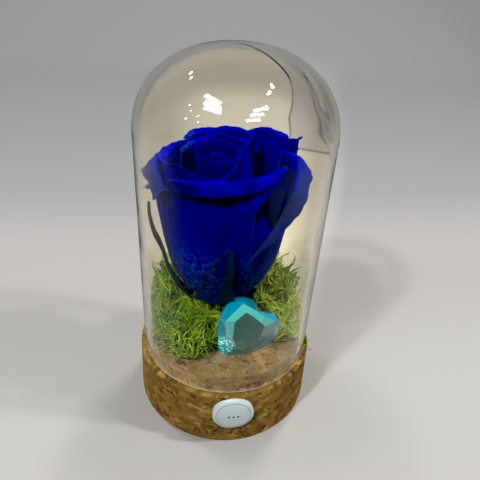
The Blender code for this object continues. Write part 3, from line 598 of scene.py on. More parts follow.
def flaw_depth(angle, height, far):
    """How much thicker the glass is at its upper right, in a patch with a sharp edge and a ridge in it (mm)."""
    side = np.interp(height, *np.array(FLAW_SIDE).T)
    foot = np.interp(angle, *np.array(FLAW_FOOT).T)
    across = np.radians(angle - side) * far
    inside = smooth_step(across / 0.8 + 0.5) * smooth_step((height - foot) / 0.8 + 0.5)
    inside = inside * smooth_step((20.0 - angle) / 25.0)
    ridge = np.radians(angle - np.interp(height, *np.array(FLAW_RIDGE).T)) * far
    crest = np.exp(-(ridge / 1.9) ** 2) * smooth_step((height - 102.0) / 4.0) * smooth_step((122.0 - height) / 4.0)
    return 0.11 * inside + 0.16 * crest


def crown_outline(radius, height, count):
    """The outline of a crown of this radius and height, from its top down to the shoulder."""
    share = np.sin(0.5 * math.pi * (1.0 - np.linspace(0.0, 1.0, count)))
    share[0] = 1.0
    return [(radius * float(crown_share(s)), GLASS_SHOULDER + height * s) for s in share]


def make_dome():
    """The dome: a thick shell with a rounded rim, its inside a little uneven, most of all at the upper right."""
    half = GLASS_WALL / 2
    inside = GLASS_RADIUS - GLASS_WALL
    outer = crown_outline(GLASS_RADIUS, CROWN_HEIGHT, 40)
    outer += [(GLASS_RADIUS, h) for h in np.linspace(GLASS_SHOULDER - 0.004, GLASS_RIM + 0.0016, 12)]
    outer.append((GLASS_RADIUS, GLASS_RIM + half))
    rim = [(GLASS_RADIUS - half + half * math.cos(a), GLASS_RIM + half - half * math.sin(a))
           for a in np.linspace(0.0, math.pi, 10)[1:-1]]
    inner = [(inside, h) for h in np.linspace(GLASS_RIM + half, GLASS_SHOULDER - 0.001, 34)]
    inner += crown_outline(inside, CROWN_HEIGHT - GLASS_WALL, 90)[::-1]
    profile = np.array(outer + rim + inner)
    angle = np.linspace(-math.pi, math.pi, GLASS_AROUND, endpoint=False)
    points = polar(profile[:, :1], angle, profile[:, 1:])
    first_inner = len(outer) + len(rim)
    skin = points[first_inner:]
    swell = BROAD_SWELL * soft_noise(skin * 45, 41) + FINE_SWELL * soft_noise(skin * 160, 43)
    away = unit(skin - np.array(DOME_MIDDLE))
    near_rim = smooth_step((skin[..., 2] - GLASS_RIM - 0.004) / 0.012)
    far = np.hypot(skin[..., 0], skin[..., 1]) / MM
    flaw = flaw_depth(np.degrees(angle)[None, :], skin[..., 2] / MM + 1.2, far) * MM
    points[first_inner:] = skin - away * (np.abs(swell) * near_rim + flaw)[..., None]
    marks = np.zeros((*points.shape[:2], 2))
    # the rows at the outer rim carry the painted highlight along the rim
    marks[len(outer) - 1:len(outer) + 2, :, 0] = (0.4, ), (1.0, ), (0.7, )
    marks[first_inner:, :, 1] = np.minimum(flaw / (0.10 * MM), 1.0)
    faces = grid_faces(len(profile), GLASS_AROUND, closed=True)
    item = mesh_object("dome", points, faces, glass_material("dome_glass", 0.6), marks=marks)
    item.data.materials.append(glass_material("dome_glass_inside", 0.08))
    inside_faces = faces[:, 0] >= first_inner * GLASS_AROUND
    item.data.polygons.foreach_set("material_index", inside_faces.astype(np.int32))
    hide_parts("glass_dome")


def glass_material(name, gloss):
    """Clear glass with a warm tint, a painted white highlight along its rim and a cooler patch where it is uneven, with
    a painted dark refraction line at the patch's edge.
    """
    material, tree, shader = new_material(name, Roughness=0.0, Transmission_Weight=1.0, IOR=1.45,
                                          Specular_Tint=(gloss, gloss, gloss, 1.0))
    painted_rim_highlight, uneven, _ = split(layer(tree, "marks"))
    haze = clouds(texture_place(tree), 46.0, 1.0)
    # the dark colour at the uneven patch's edge is a painted dark refraction line
    tint = painted(
        mix(spread(haze, 0.3, 0.7), (1.0, 0.965, 0.850), (0.995, 0.960, 0.840)),
        (uneven, (0.70, 0.65, 0.70)), (spread(away_from(uneven, 0.5), 0.42, 0.10, 0.0, 0.85), (0.12, 0.09, 0.07)))
    feed(shader, Base_Color=tint)
    bumped(shader, haze, 0.05, 0.0006)
    # white diffuse mixed in at the rim: a painted highlight
    white = node(tree, "BsdfDiffuse", Color=(1.0, 0.98, 0.93, 1.0))
    rim = node(tree, "MixShader", i0=painted_rim_highlight, i1=shader.outputs[0], i2=white.outputs[0])
    clear_shadow(rim, (0.36, 0.36, 0.35))
    return material


# Rose

PETAL_COLUMNS, PETAL_ROWS, LIP_ROWS = 46, 34, 16
LIP_STEPS = 3
INNER_SHELL, INNER_FOOT, OUTER_FOOT = 0.87, 22.0, 4.0
BUD_COLUMNS, BUD_ROWS = 190, 16
CORE_AROUND, CORE_ROWS = 48, 16
SEPAL_COLUMNS, SEPAL_ROWS = 24, 60
STEM_AROUND = 40
STEM_RADIUS = 2.0 * MM
PETAL_THICK = 0.45 * MM
SEPAL_THICK = 0.4 * MM
PATCH_EDGE = 0.07
CREASE = 0.00005
DENT = 0.00016
BUD_FROM, BUD_TURN = -150.0, 640.0
BUD_RADIUS = 7.6 * MM
BUD_FOOT = 30.0 * MM
BUD_TOP = 53.4 * MM
CORE_TOP = 36.0 * MM
CORE_GAP = 2.4 * MM


def petal(shells, body, lip, *rim):
    """A petal's form: its shell at each side as a share of the bowl, its sides' angles half-way up,
    its lip's lengths from left to right and its turn, and its rim as (angle, radius, height)."""
    foot = INNER_FOOT if max(shells) < INNER_SHELL else OUTER_FOOT
    return {"shells": shells, "body": body, "lip": lip, "rim": rim, "foot": foot}


PETALS = {
    "front": petal(
        (0.98, 1.03), (-151, -69), (4.0, 6.4, 7.0, 5.0, 1.0, 155), (-152, 18.0, 46.0), (-120, 15.8, 47.6),
        (-90, 15.4, 49.3), (-60, 16.4, 50.8), (-36, 18.4, 53.2)),
    "right": petal(
        (0.95, 1.06), (-82, 22), (0.2, 1.6, 4.6, 7.0, 7.0, 6.5, 6.0, 145), (-76, 18.6, 24.0), (-60, 19.4, 31.0),
        (-42, 20.4, 39.0), (-26, 20.8, 45.5), (-4, 20.2, 51.0), (16, 18.0, 51.4)),
    "left": petal(
        (0.92, 0.92), (150, 206), (2.0, 7.5, 5.5, 140), (142, 17.0, 46.4), (160, 19.2, 47.6), (178, 20.1, 48.0),
        (194, 20.1, 46.0), (207, 19.2, 42.6)),
    "left_low": petal(
        (0.96, 0.97), (160, 212), (6.0, 3.0, 1.0, 120), (166, 20.6, 38.5), (182, 21.0, 41.6), (196, 20.0, 43.4),
        (210, 18.6, 44.6)),
    "back_left": petal(
        (1.02, 1.0), (80, 150), (5.0, 7.0, 5.0, 150), (78, 18.5, 45.0), (98, 18.8, 47.5), (118, 19.0, 48.5),
        (138, 18.6, 46.5), (150, 18.4, 44.0)),
    "back_right": petal(
        (1.03, 0.98), (16, 88), (5.0, 7.0, 5.0, 150), (14, 19.5, 46.0), (34, 19.0, 49.0), (54, 18.5, 50.0),
        (74, 18.4, 48.5), (90, 18.0, 46.0)),
    "rear_right": petal(
        (0.92, 0.90), (0, 62), (1.5, 2.5, 2.0, 80), (8, 22.2, 57.0), (16, 19.4, 55.6), (30, 17.8, 56.6),
        (46, 16.8, 56.6), (62, 15.8, 55.2)),
    "rear_left": petal(
        (0.88, 0.90), (122, 186), (3.0, 3.5, 3.0, 100), (118, 16.8, 50.8), (136, 18.6, 50.0), (152, 19.6, 48.8),
        (170, 20.4, 47.8), (186, 20.0, 46.6)),
    "rear": petal(
        (0.86, 0.84), (58, 146), (1.6, 2.0, 2.0, 70), (54, 14.8, 54.8), (80, 14.8, 55.6), (100, 14.8, 55.4),
        (122, 15.4, 54.6), (142, 15.6, 52.4)),
    "inner_left": petal(
        (0.83, 0.81), (172, 262), (1.2, 1.6, 1.2, 60), (172, 20.0, 49.4), (190, 18.6, 50.0), (210, 16.2, 50.0),
        (232, 14.4, 49.6), (262, 14.2, 49.2)),
    "inner_right": petal(
        (0.74, 0.77), (-110, 50), (1.0, 1.2, 1.2, 50), (-102, 13.0, 48.8), (-84, 7.4, 50.0), (-45, 3.4, 51.3),
        (0, 3.0, 52.6), (28, 6.4, 54.6), (46, 12.4, 57.0)),
    "inner_rear": petal(
        (0.72, 0.70), (48, 160), (1.2, 1.6, 1.2, 60), (48, 11.5, 52.5), (75, 11.6, 53.6), (100, 12.4, 54.0),
        (130, 13.6, 52.6), (160, 15.0, 50.0)),
}

# Patches on petals, as (kind, strength, left, right, low, high), their borders as shares across and along; the dark-gap
# and shade kinds are painted shade, the teal kind is a painted turquoise glint
PETAL_PATCHES = {
    "front": [
        ("painted_shade", 0.75, -1, 0.24, 0.82, 2), ("painted_shade", 0.35, 0.45, 0.72, 0.70, 0.84),
        ("grey_blue", 0.35, 0.72, 2, -1, 0.36)],
    "right": [
        ("painted_dark_gap", 0.85, 0.70, 0.96, 0.48, 0.66), ("painted_dark_gap", 0.85, 0.30, 0.56, 0.70, 0.83),
        ("grey_blue", 0.9, -1, 0.70, 0.78, 2), ("grey_blue", 0.6, -1, 0.40, 0.30, 0.78), ("grey_blue", 0.4, 0.70, 2, 0.78, 2)],
    "left": [("grey_blue", 0.85, 0.50, 2, 0.80, 2), ("grey_blue", 0.6, -1, 0.50, 0.80, 2)],
    "left_low": [("grey_blue", 0.5, -1, 2, 0.60, 2)],
    "rear_right": [("painted_dark_gap", 0.9, -1, 0.42, -1, 0.50)],
    "rear": [("teal", 0.6, 0.80, 2, 0.60, 2)],
    "inner_left": [("painted_shade", 0.5, 0.40, 2, 0.50, 2)],
    "inner_right": [("painted_dark_gap", 0.9, 0.40, 2, -1, 0.34), ("painted_shade", 0.5, -1, 0.25, -1, 0.90)],
    "inner_rear": [("teal", 0.8, 0.78, 2, 0.50, 2), ("painted_shade", 0.4, 0.20, 0.60, -1, 2)],
    "bud": [("painted_shade", 0.7, -1, 2, -1, 0.90), ("painted_shade", 0.5, -1, 2, 0.90, 2)],
}


def petal_tones(name, across, along):
    """How far each place of a petal is in a painted dark gap and grey-blue, and in a painted teal glint and painted
    shade, from the petal's patches.
    """
    tones = {kind: 0.0 * across for kind in ("painted_dark_gap", "grey_blue", "teal", "painted_shade")}
    for kind, inside, left, right, low, high in PETAL_PATCHES.get(name, []):
        for gap in (across - left, right - across, along - low, high - along):
            inside = inside * smooth_step(gap / PATCH_EDGE + 0.5)
        tones[kind] = np.maximum(tones[kind], inside)
    return vectors(tones["painted_dark_gap"], tones["grey_blue"]).reshape(-1, 2), vectors(tones["teal"], tones["painted_shade"]).reshape(-1, 2)


def rose_matrix():
    """Stand the rose's own Z axis on its base, leaning."""
    turn = Vector((0.0, 0.0, 1.0)).rotation_difference(ROSE_LEAN.normalized())
    return Matrix.Translation(ROSE_BASE) @ turn.to_matrix().to_4x4()


def shares(rows, columns):
    """How far across and how far along each point of a grid is."""
    return np.meshgrid(np.linspace(0, 1, columns), np.linspace(0, 1, rows))


def rose_sheet(grid, closed=False):
    """A grid of the rose's as placed points, faces and how far across and along each point is."""
    rows, columns = grid.shape[:2]
    points = placed(grid.reshape(-1, 3), rose_matrix())
    return points, grid_faces(rows, columns, closed), vectors(*shares(rows, columns)).reshape(-1, 2)


def bowl_radius(height):
    """The bloom's outer radius at a height over its base."""
    share = np.clip((np.asarray(height, float) - BOWL_START) / BOWL_HEIGHT, 0.0, 1.0)
    return BOWL_RADIUS * np.sqrt(1.0 - (1.0 - share) ** 2)


def petal_points(form, seed):
    """A petal as a grid: it climbs the bowl, leaves it for its rim and rolls outward as a lip."""
    share = np.linspace(0.0, 1.0, PETAL_COLUMNS + 1)
    side = 2.0 * share - 1.0
    angle, radius, height = curve_through(form["rim"], share).T
    wander = vectors(share * 5.0, seed * 3.1, 0.0)
    radius = (radius + 0.30 * rough_noise(wander, seed)) * MM
    height = (height + 0.45 * rough_noise(wander * 1.3, seed + 5)) * MM
    low, high = form["body"]
    middle = math.radians(0.5 * (low + high))
    body = np.radians(low + (high - low) * share)
    foot = middle + FOOT_SPREAD * (body - middle)
    angle = np.radians(angle)
    shell = form["shells"][0] + (form["shells"][1] - form["shells"][0]) * share
    start = form["foot"] * MM
    level = start + (height - start) * np.linspace(0.0, 1.0, PETAL_ROWS + 1)[:, None]
    climb = level / height
    turn = foot + (body - foot) * smooth_step(climb / 0.5)
    turn = turn + (angle - body) * smooth_step((climb - SPREAD_FROM) / (1.0 - SPREAD_FROM))
    leave = smooth_step((climb - 0.42) / 0.58)
    out = shell * bowl_radius(level) * (1.0 - leave) + radius * leave
    grid = polar(out, turn, level)
    ragged = 1.0 + 0.16 * rough_noise(wander * 2.1, seed + 9) + 0.05 * soft_noise(wander * 9.0, seed + 2)
    *sizes, roll = form["lip"]
    length = np.interp(side, np.linspace(-1.0, 1.0, len(sizes)), sizes) * MM * ragged
    outward = polar(1.0, angle, 0.0)
    slope = grid[-1] - grid[-2]
    tilt = np.arctan2((slope * outward).sum(-1), slope[:, 2])
    roll = roll * (1.0 + 0.14 * soft_noise(wander * 1.6, seed + 13))
    step = (length / LIP_ROWS / LIP_STEPS)[:, None]
    place = grid[-1]
    lip = []
    for part in range(LIP_ROWS * LIP_STEPS):
        bend = tilt + np.radians(roll) * smooth_step((part + 0.5) / (LIP_ROWS * LIP_STEPS) / 0.6)
        place = place + step * (outward * np.sin(bend)[:, None] + np.array((0.0, 0.0, 1.0)) * np.cos(bend)[:, None])
        lip.append(place)
    return np.concatenate([grid, np.array(lip[LIP_STEPS - 1::LIP_STEPS])])


def crinkle(grid, seed):
    """Fine creases that run up a petal, and soft dents across it."""
    u, v = shares(*grid.shape[:2])
    normal = unit(np.cross(np.gradient(grid, axis=1), np.gradient(grid, axis=0)))
    height = (CREASE * soft_noise(vectors(u * 34.0, v * 4.0, seed), seed)
              + DENT * soft_noise(vectors(u * 6.0, v * 5.0, seed), seed + 1))
    return grid + normal * (height * smooth_step(v / 0.2))[..., None]


def bud_points():
    """The wound bud: one long petal round the bloom's off-centre heart, which coils in and down."""
    share = np.linspace(0.0, 1.0, BUD_COLUMNS + 1)[None, :]
    rise = np.linspace(0.0, 1.0, BUD_ROWS + 1)[:, None]
    angle = np.radians(BUD_FROM + BUD_TURN * share)
    inward = smooth_step((share - 0.45) / 0.55)
    radius = BUD_RADIUS * (1.04 - 0.10 * share - 0.62 * inward)
    height = BUD_TOP + 1.2 * MM * np.sin(angle) - 3.0 * MM * inward
    height = height + 0.4 * MM * rough_noise(vectors(share * 16.0, 0.0, 0.0), 71)
    level = BUD_FOOT + (height - BUD_FOOT) * rise
    out = radius * (1.0 - 0.12 * rise ** 2 + 0.06 * smooth_step((rise - 0.9) / 0.1))
    return vectors(-3.6 * MM * rise + out * np.cos(angle), 1.2 * MM * rise + 0.92 * out * np.sin(angle), level)


def make_bloom():
    """The bloom: its petals in layers round a wound bud, over a closed core that keeps light out."""
    material = petal_material()
    sheets = {name: crinkle(petal_points(form, seed), seed) for seed, (name, form) in enumerate(PETALS.items(), 1)}
    sheets["bud"] = bud_points()
    parts = [(*rose_sheet(grid), *petal_tones(name, *shares(*grid.shape[:2]))) for name, grid in sheets.items()]
    points, faces, leaf, tone, dye = joined(parts)
    item = mesh_object("petals", points, faces, material, leaf=leaf, tone=tone, dye=dye)
    thicken(item, PETAL_THICK)
    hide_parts("rose_bloom")
    level = np.linspace(CORE_TOP, BOWL_START, CORE_ROWS)[:, None]
    radius = np.maximum(bowl_radius(level) - CORE_GAP, 0.4 * bowl_radius(level))
    radius = radius * (1.0 - smooth_step((level - 0.030) / 0.007))
    points, faces, leaf = rose_sheet(polar(radius, circle(CORE_AROUND), level), closed=True)
    plain = 0.0 * leaf
    core = mesh_object("petal_heart", points, faces, material, leaf=plain, tone=plain, dye=plain)
    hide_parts("rose_bloom")


def petal_material():
    """Dyed petals: royal blue with streaks up them, turquoise mottling low down, teal edges that are a painted edge
    highlight, a bright lip and the patches of each petal: painted shade in gaps and hollows, painted turquoise glints
    and a greyer blue."""
    material, tree, shader = new_material("petal_royal_blue", Roughness=0.5, Specular_IOR_Level=0.02)
    across, along, _ = split(layer(tree, "leaf"))
    painted_dark_gap, grey_blue, _ = split(layer(tree, "tone"))
    teal, painted_shade, _ = split(layer(tree, "dye"))
    streak = clouds(texture_place(tree, (46.0, 3.0, 1.0), layer(tree, "leaf")), 1.0, 4.0, 0.6)
    place = texture_place(tree)
    vein = clouds(place, 820.0, 3.0, 0.7)
    blotch = clouds(place, 110.0, 3.0, 0.55)
    low = spread(split(place)[2], 0.073, 0.058)
    # teal edges: a painted edge highlight
    edge = times(spread(away_from(across, 0.5), 0.45, 0.497), spread(along, 0.10, 0.35))
    colour = painted(
        mix(spread(blotch, 0.32, 0.68), (0.0, 0.0005, 0.20), (0.0, 0.0020, 0.60)),
        (spread(streak, 0.52, 0.78, 0.0, 0.5), (0.0, 0.035, 0.70)),
        (times(spread(vein, 0.50, 0.60), low), (0.0, 0.20, 0.70)),
        (times(edge, 0.5), (0.0, 0.08, 0.34)),
        (spread(along, 0.66, 0.80, 0.0, 0.45), (0.0, 0.003, 0.68)),
        (grey_blue, (0.014, 0.036, 0.215)),
        # teal patches: painted turquoise glint; the dark-gap coat and the multiplied coat below are painted shade
        (times(teal, spread(streak, 0.40, 0.60)), (0.0, 0.080, 0.34)),
        (painted_dark_gap, (0.014, 0.024, 0.043)),
        (painted_shade, (0.12, 0.12, 0.16), "MULTIPLY"))
    feed(shader, Base_Color=colour)
    bumped(shader, maths("ADD", streak, times(vein, 0.35)), 0.35, 0.0004)
    return material


# Each sepal's angles at its foot and tip, its widths as (left, right), its twist and its path as (radius, height).
# The two at the back share all but their angles.
BACK_SEPAL = (
    [(2.4, 2.4), (5.0, 5.0), (5.0, 5.0), (3.2, 3.2), (0.5, 0.5)], 0.0,
    [(3.0, 1.6), (7.0, 2.4), (11.2, 4.6), (15.8, 9.6), (18.6, 16.0), (20.0, 23.0)])
SEPALS = {
    "left": (
        (197, 199), [(1.8, 1.8), (2.6, 2.6), (2.8, 2.8), (2.6, 2.6), (2.2, 2.2), (1.6, 1.6), (0.5, 0.5)], 0.22,
        [(3.0, 1.6), (7.0, 2.6), (11.0, 5.2), (15.0, 10.6), (17.9, 17.2), (19.6, 24.0), (22.0, 30.2), (23.3, 36.0),
         (23.6, 40.0)]),
    "front": (
        (-104, -90), [(2.4, 4.4), (4.6, 8.2), (6.4, 8.0), (7.4, 5.6), (7.2, 3.8), (5.0, 2.6), (0.8, 0.8)], 0.0,
        [(3.0, 1.6), (5.6, 2.0), (8.8, 4.0), (14.0, 8.9), (17.9, 16.4), (19.9, 24.0), (20.3, 31.4)]),
    "right": (
        (-24, -18), [(2.0, 2.0), (4.2, 4.2), (3.6, 3.6), (0.6, 0.6)], 0.0,
        [(3.0, 1.6), (6.6, 2.2), (10.2, 4.0), (13.4, 7.6)]),
    "back_right": ((42, 36), *BACK_SEPAL),
    "back_left": ((118, 124), *BACK_SEPAL),
}


def sepal_points(angles, widths, twist, path, seed):
    """A sepal as a grid along its path: a leaf that narrows to a point, wraps round the bowl and crimps at its edges.

    A twist stands its right edge out from the bowl.
    """
    share = np.linspace(0.0, 1.0, SEPAL_ROWS + 1)[:, None]
    side = np.linspace(-1.0, 1.0, SEPAL_COLUMNS + 1)[None, :]
    radius, height = (curve_through(path, share[:, 0]) * MM).T[:, :, None]
    middle = np.radians(angles[0] + (angles[1] - angles[0]) * share)
    left, right = (curve_through(widths, share[:, 0]) * MM).T[:, :, None]
    width = np.where(side < 0.0, left, right)
    width = width * (1.0 + 0.05 * rough_noise(vectors(share * 22.0, np.sign(side), seed), seed))
    turn = middle + side * np.minimum(width / radius, 0.9)
    wave = soft_noise(vectors(share * 7.0, side * 1.2, seed), seed)
    curl = np.abs(side) ** 3 * (0.5 + 0.5 * wave) * 0.0006 * smooth_step(share / 0.3)
    rib = -0.00022 * np.exp(-(side / 0.10) ** 2)
    out = radius + curl + rib + twist * (side + 0.1) * width * smooth_step(share / 0.25)
    return polar(out, turn, height)


def make_stem():
    """The stem, its hip and its five sepals."""
    material = sepal_material()
    parts = []
    for seed, (name, form) in enumerate(SEPALS.items(), 1):
        points, faces, leaf = rose_sheet(sepal_points(*form, seed))
        # the front sepal is marked for blue on its left half; its dark right half is painted shade
        parts.append((points, faces, leaf, np.full(leaf.shape, 1.0 if name == "front" else 0.0)))
    points, faces, leaf, half = joined(parts)
    item = mesh_object("sepals", points, faces, material, leaf=leaf, half=half)
    thicken(item, SEPAL_THICK)
    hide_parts("rose_stem")
    foot = PLUG_TOP - STEM_DEPTH - ROSE_BASE.z
    profile = [(0.1, 2.7), (3.4, 2.7), (4.2, 2.0), (4.4, 1.2), (4.2, -0.6), (3.4, -2.4), (2.5, -4.2), (2.05, -5.6),
               (2.0, -8.0)]
    profile = curve_through(profile, np.linspace(0.0, 1.0, 40)) * MM
    profile = np.concatenate([profile, [(STEM_RADIUS, height) for height in np.linspace(-9.0 * MM, foot, 12)]])
    angle = circle(STEM_AROUND)
    column = polar(profile[:, :1] * (1.0 + 0.04 * np.sin(5.0 * angle)), angle, profile[:, 1:])
    points, faces, leaf = rose_sheet(column, closed=True)
    stem = mesh_object("stem", points, faces, material, leaf=leaf, half=0.0 * leaf)
    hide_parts("rose_stem")


def sepal_material():
    """Dyed sepals: dark blue-grey with a teal edge, the front one blue and mottled like the petals on its lit left half
    only, its right half left dark as painted shade.
    """
    material, tree, shader = new_material("sepal_dark_teal", Roughness=0.55, Specular_IOR_Level=0.12)
    across = split(layer(tree, "leaf"))[0]
    streak = clouds(texture_place(tree, (14.0, 3.0, 1.0), layer(tree, "leaf")), 1.0, 4.0, 0.6)
    blotch = clouds(texture_place(tree), 240.0, 3.0, 0.6)
    vein = clouds(texture_place(tree), 820.0, 3.0, 0.7)
    blue = mix(spread(vein, 0.50, 0.62), (0.0, 0.001, 0.20), (0.0, 0.11, 0.46))
    # blue on the front sepal's left half only; the dark right half is painted shade
    dyed_lit_half = times(split(layer(tree, "half"))[0], spread(across, 0.62, 0.50))
    colour = painted(
        mix(spread(blotch, 0.35, 0.65), (0.001, 0.010, 0.030), (0.003, 0.030, 0.065)),
        (spread(streak, 0.55, 0.75, 0.0, 0.6), (0.006, 0.060, 0.10)),
        (dyed_lit_half, blue), (spread(away_from(across, 0.5), 0.43, 0.5, 0.0, 0.7), (0.001, 0.030, 0.050)))
    feed(shader, Base_Color=colour)
    bumped(shader, streak, 0.4, 0.0004)
    return material


# Moss

# Each clump's heaps as (angle, radius, height), and how many strands grow on them
MOSS = {
    "moss_left": (
        [(127, 20.6, 14), (141, 21.2, 18), (155, 21.4, 21), (169, 21.4, 22), (183, 21.4, 20), (197, 21.2, 18),
         (211, 21.0, 16), (225, 20.0, 14), (237, 17.6, 16), (250, 14.2, 19), (222, 14.0, 17), (248, 10.4, 18),
         (205, 13.6, 15), (184, 14.4, 15)], 900),
    "moss_right": (
        [(-28, 20.4, 10), (-15, 21.0, 14), (-2, 21.4, 18), (12, 21.4, 21), (26, 21.4, 22), (38, 21.0, 18),
         (-24, 13.6, 17), (-2, 14.0, 17)], 560),
    "moss_back": ([(64, 20.6, 15), (82, 20.2, 15), (100, 20.4, 14)], 280),
}
# How far to the front the moss reaches, as (x, y) on the plug
MOSS_FRONT = [(-28.0, -13.5), (-13.0, -18.0), (0.0, -18.0), (6.0, -15.0), (10.0, -11.5), (28.0, -11.5)]
MOSS_REACH = 27.3 * MM
MOSS_LIFT = 0.3 * MM
STEM_ROOM = 2.6 * MM
HIP_ROOM, HIP_FOOT = 5.2 * MM, -7.0 * MM
HEART_CENTRE, HEART_ROOM = 11.4 * MM, 13.0 * MM
HEAP_RADIUS = 4.4
STRAND_STEPS = 9
TWIG_STEPS = 3
TWIG_PLACES = (2, 4, 6)
TWIG_RADIUS = 0.27 * MM
LUMP_ROWS, LUMP_COLUMNS = 12, 18
# The scrap's route as (angle, radius, height)
SPRIG = [(-10.5, 30.95, 22.1), (-15.0, 31.1, 22.3), (-19.0, 31.6, 22.5), (-22.5, 32.6, 22.2)]
SPRIG_STEPS = 4
SPRIG_RADIUS, SPRIG_TWIG_RADIUS = 0.42 * MM, 0.2 * MM
SPRIG_TWIG_STEP = 0.45 * MM


def heart_matrix():
    """Stand the heart's XY outline up on its tip, leaning back and to one side."""
    face, lift = math.radians(HEART_FACING), math.radians(HEART_LIFT)
    out = Vector((math.cos(face) * math.cos(lift), math.sin(face) * math.cos(lift), math.sin(lift)))
    across = Vector((0.0, 0.0, 1.0)).cross(out).normalized()
    turned = Matrix((across, out.cross(across), out)).transposed().to_4x4()
    return Matrix.Translation(HEART_TIP) @ turned @ Matrix.Rotation(-math.radians(HEART_ROLL), 4, "Z")


def confined(points):
    """Points moved off the cork, the glass, the bloom, the stem and the gem, and off the plug's bare front."""
    points = points.copy()
    points[..., 2] = np.maximum(points[..., 2], PLUG_TOP + MOSS_LIFT)
    front = np.interp(points[..., 0] / MM, *np.array(MOSS_FRONT).T) * MM - 0.9 * (points[..., 2] - PLUG_TOP)
    points[..., 1] = np.where(points[..., 1] < front, front + 0.25 * (points[..., 1] - front), points[..., 1])
    far = np.hypot(points[..., 0], points[..., 1])
    points[..., :2] *= np.minimum(1.0, MOSS_REACH / np.maximum(far, 1e-6))[..., None]
    matrix = rose_matrix()
    local = placed(points, matrix.inverted())
    far = np.hypot(local[..., 0], local[..., 1])
    keep = np.where(local[..., 2] > BOWL_START, 1.08 * bowl_radius(local[..., 2]) + 1.3 * MM, 0.0)
    keep = np.maximum(keep, np.where(local[..., 2] > HIP_FOOT, HIP_ROOM, STEM_ROOM))
    local[..., :2] *= np.maximum(1.0, keep / np.maximum(far, 1e-5))[..., None]
    points = placed(local, matrix)
    matrix = heart_matrix()
    local = placed(points, matrix.inverted())
    near = np.hypot(local[..., 0], local[..., 1] - HEART_CENTRE) < HEART_ROOM
    behind = -(0.5 * HEART_THICK + 0.7 * MM)
    local[..., 2] = np.where(near & (local[..., 2] > behind), behind, local[..., 2])
    return placed(local, matrix)


def grow(starts, ways, length, steps, bend, seed):
    """Paths that curve as they grow, by a slow field and a bend of their own."""
    paths = [confined(starts)]
    for _ in range(steps):
        field = vectors(*(soft_noise(paths[-1] * 210, seed + axis) for axis in range(3)))
        ways = unit(ways + 0.32 * field + bend / steps)
        paths.append(confined(paths[-1] + ways * (length / steps)[:, None]))
    return np.stack(paths, axis=1)


def tubes(paths, radius, sides=3):
    """Thin tapered tubes along paths, as points, quads and how far along each point is."""
    count, steps = paths.shape[:2]
    along = np.linspace(0.0, 1.0, steps)
    tangent = unit(np.gradient(paths, axis=1))
    side = unit(np.cross(tangent, chance.normal(size=(count, 1, 3))))
    up = np.cross(tangent, side)
    thick = (radius[:, None] * (1.0 - 0.75 * along ** 2))[..., None]
    points = np.stack([paths + thick * (side * math.cos(turn) + up * math.sin(turn)) for turn in circle(sides)], axis=2)
    base = (np.arange(count) * steps * sides)[:, None, None]
    row = base + (np.arange(steps - 1) * sides)[None, :, None]
    corner = np.arange(sides)[None, None, :]
    after = (corner + 1) % sides
    quads = vectors(row + corner, row + after, row + sides + after, row + sides + corner).reshape(-1, 4)
    run = np.broadcast_to(along[None, :, None], (count, steps, sides))
    return points.reshape(-1, 3), quads, run.reshape(-1)


def make_moss(name, heaps, count, material):
    """A clump of moss: fine curved strands, each with side twigs, over small dark cores on the clump's own heaps,
    painted shade deep in the clump.
    """
    heaps = np.array(heaps, float)
    weight = heaps[:, 2] * np.where(heaps[:, 1] > 18.0, 1.4, 0.8)
    angle, far, tall = heaps[chance.choice(len(heaps), count, p=weight / weight.sum())].T
    angle = np.radians(angle)
    centre = polar(far, angle, 0.37 * tall) * MM + (0.0, 0.0, PLUG_TOP)
    way = unit(chance.normal(size=(count, 3)) + polar(0.45, angle, 0.3))
    size = vectors(HEAP_RADIUS, HEAP_RADIUS, 0.58 * tall) * MM
    starts = centre + way * size * chance.uniform(0.55, 0.95, (count, 1))
    tangent = unit(np.cross(way, chance.normal(size=(count, 3))))
    heading = unit(way * 0.55 + tangent * 0.8 + (0.0, 0.0, 0.25))
    length = chance.uniform(6.0, 12.0, count) * MM
    main = grow(starts, heading, length, STRAND_STEPS, chance.normal(size=(count, 3)) * 1.1, 100)
    strands = [tubes(main, chance.uniform(0.28, 0.46, count) * MM)]
    tone = chance.random(count)
    for place in TWIG_PLACES:
        ahead = unit(main[:, place + 1] - main[:, place])
        aside = unit(np.cross(ahead, chance.normal(size=(count, 3))))
        length = chance.uniform(1.6, 3.6, count) * MM
        bend = chance.normal(size=(count, 3)) * 0.6
        twig = grow(main[:, place], ahead * 0.75 + aside * 0.75, length, TWIG_STEPS, bend, 200 + place)
        strands.append(tubes(twig, np.full(count, TWIG_RADIUS)))
    parts = [(points, quads, vectors(np.repeat(tone, len(points) // count), run)) for points, quads, run in strands]
    ball = ball_points(np.linspace(0.0, math.pi, LUMP_ROWS)[:, None], LUMP_COLUMNS)
    core_faces = grid_faces(LUMP_ROWS, LUMP_COLUMNS, closed=True)
    for angle, far, tall in heaps:
        middle = polar(far, math.radians(angle), 0.37 * tall + PLUG_TOP / MM) * MM
        uneven = 1.0 + 0.3 * soft_noise(ball * 2.2 + angle, 31)[..., None]
        core = confined(middle + ball * np.array((3.0, 3.0, 0.40 * tall)) * MM * uneven).reshape(-1, 3)
        # the cores take the dark root colour: a dark mass of painted shade deep in the clump
        parts.append((core, core_faces, np.zeros((len(core), 2))))
    points, faces, strand = joined(parts)
    item = mesh_object(name + "_strands", points, faces, material, strand=strand)
    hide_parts(name)


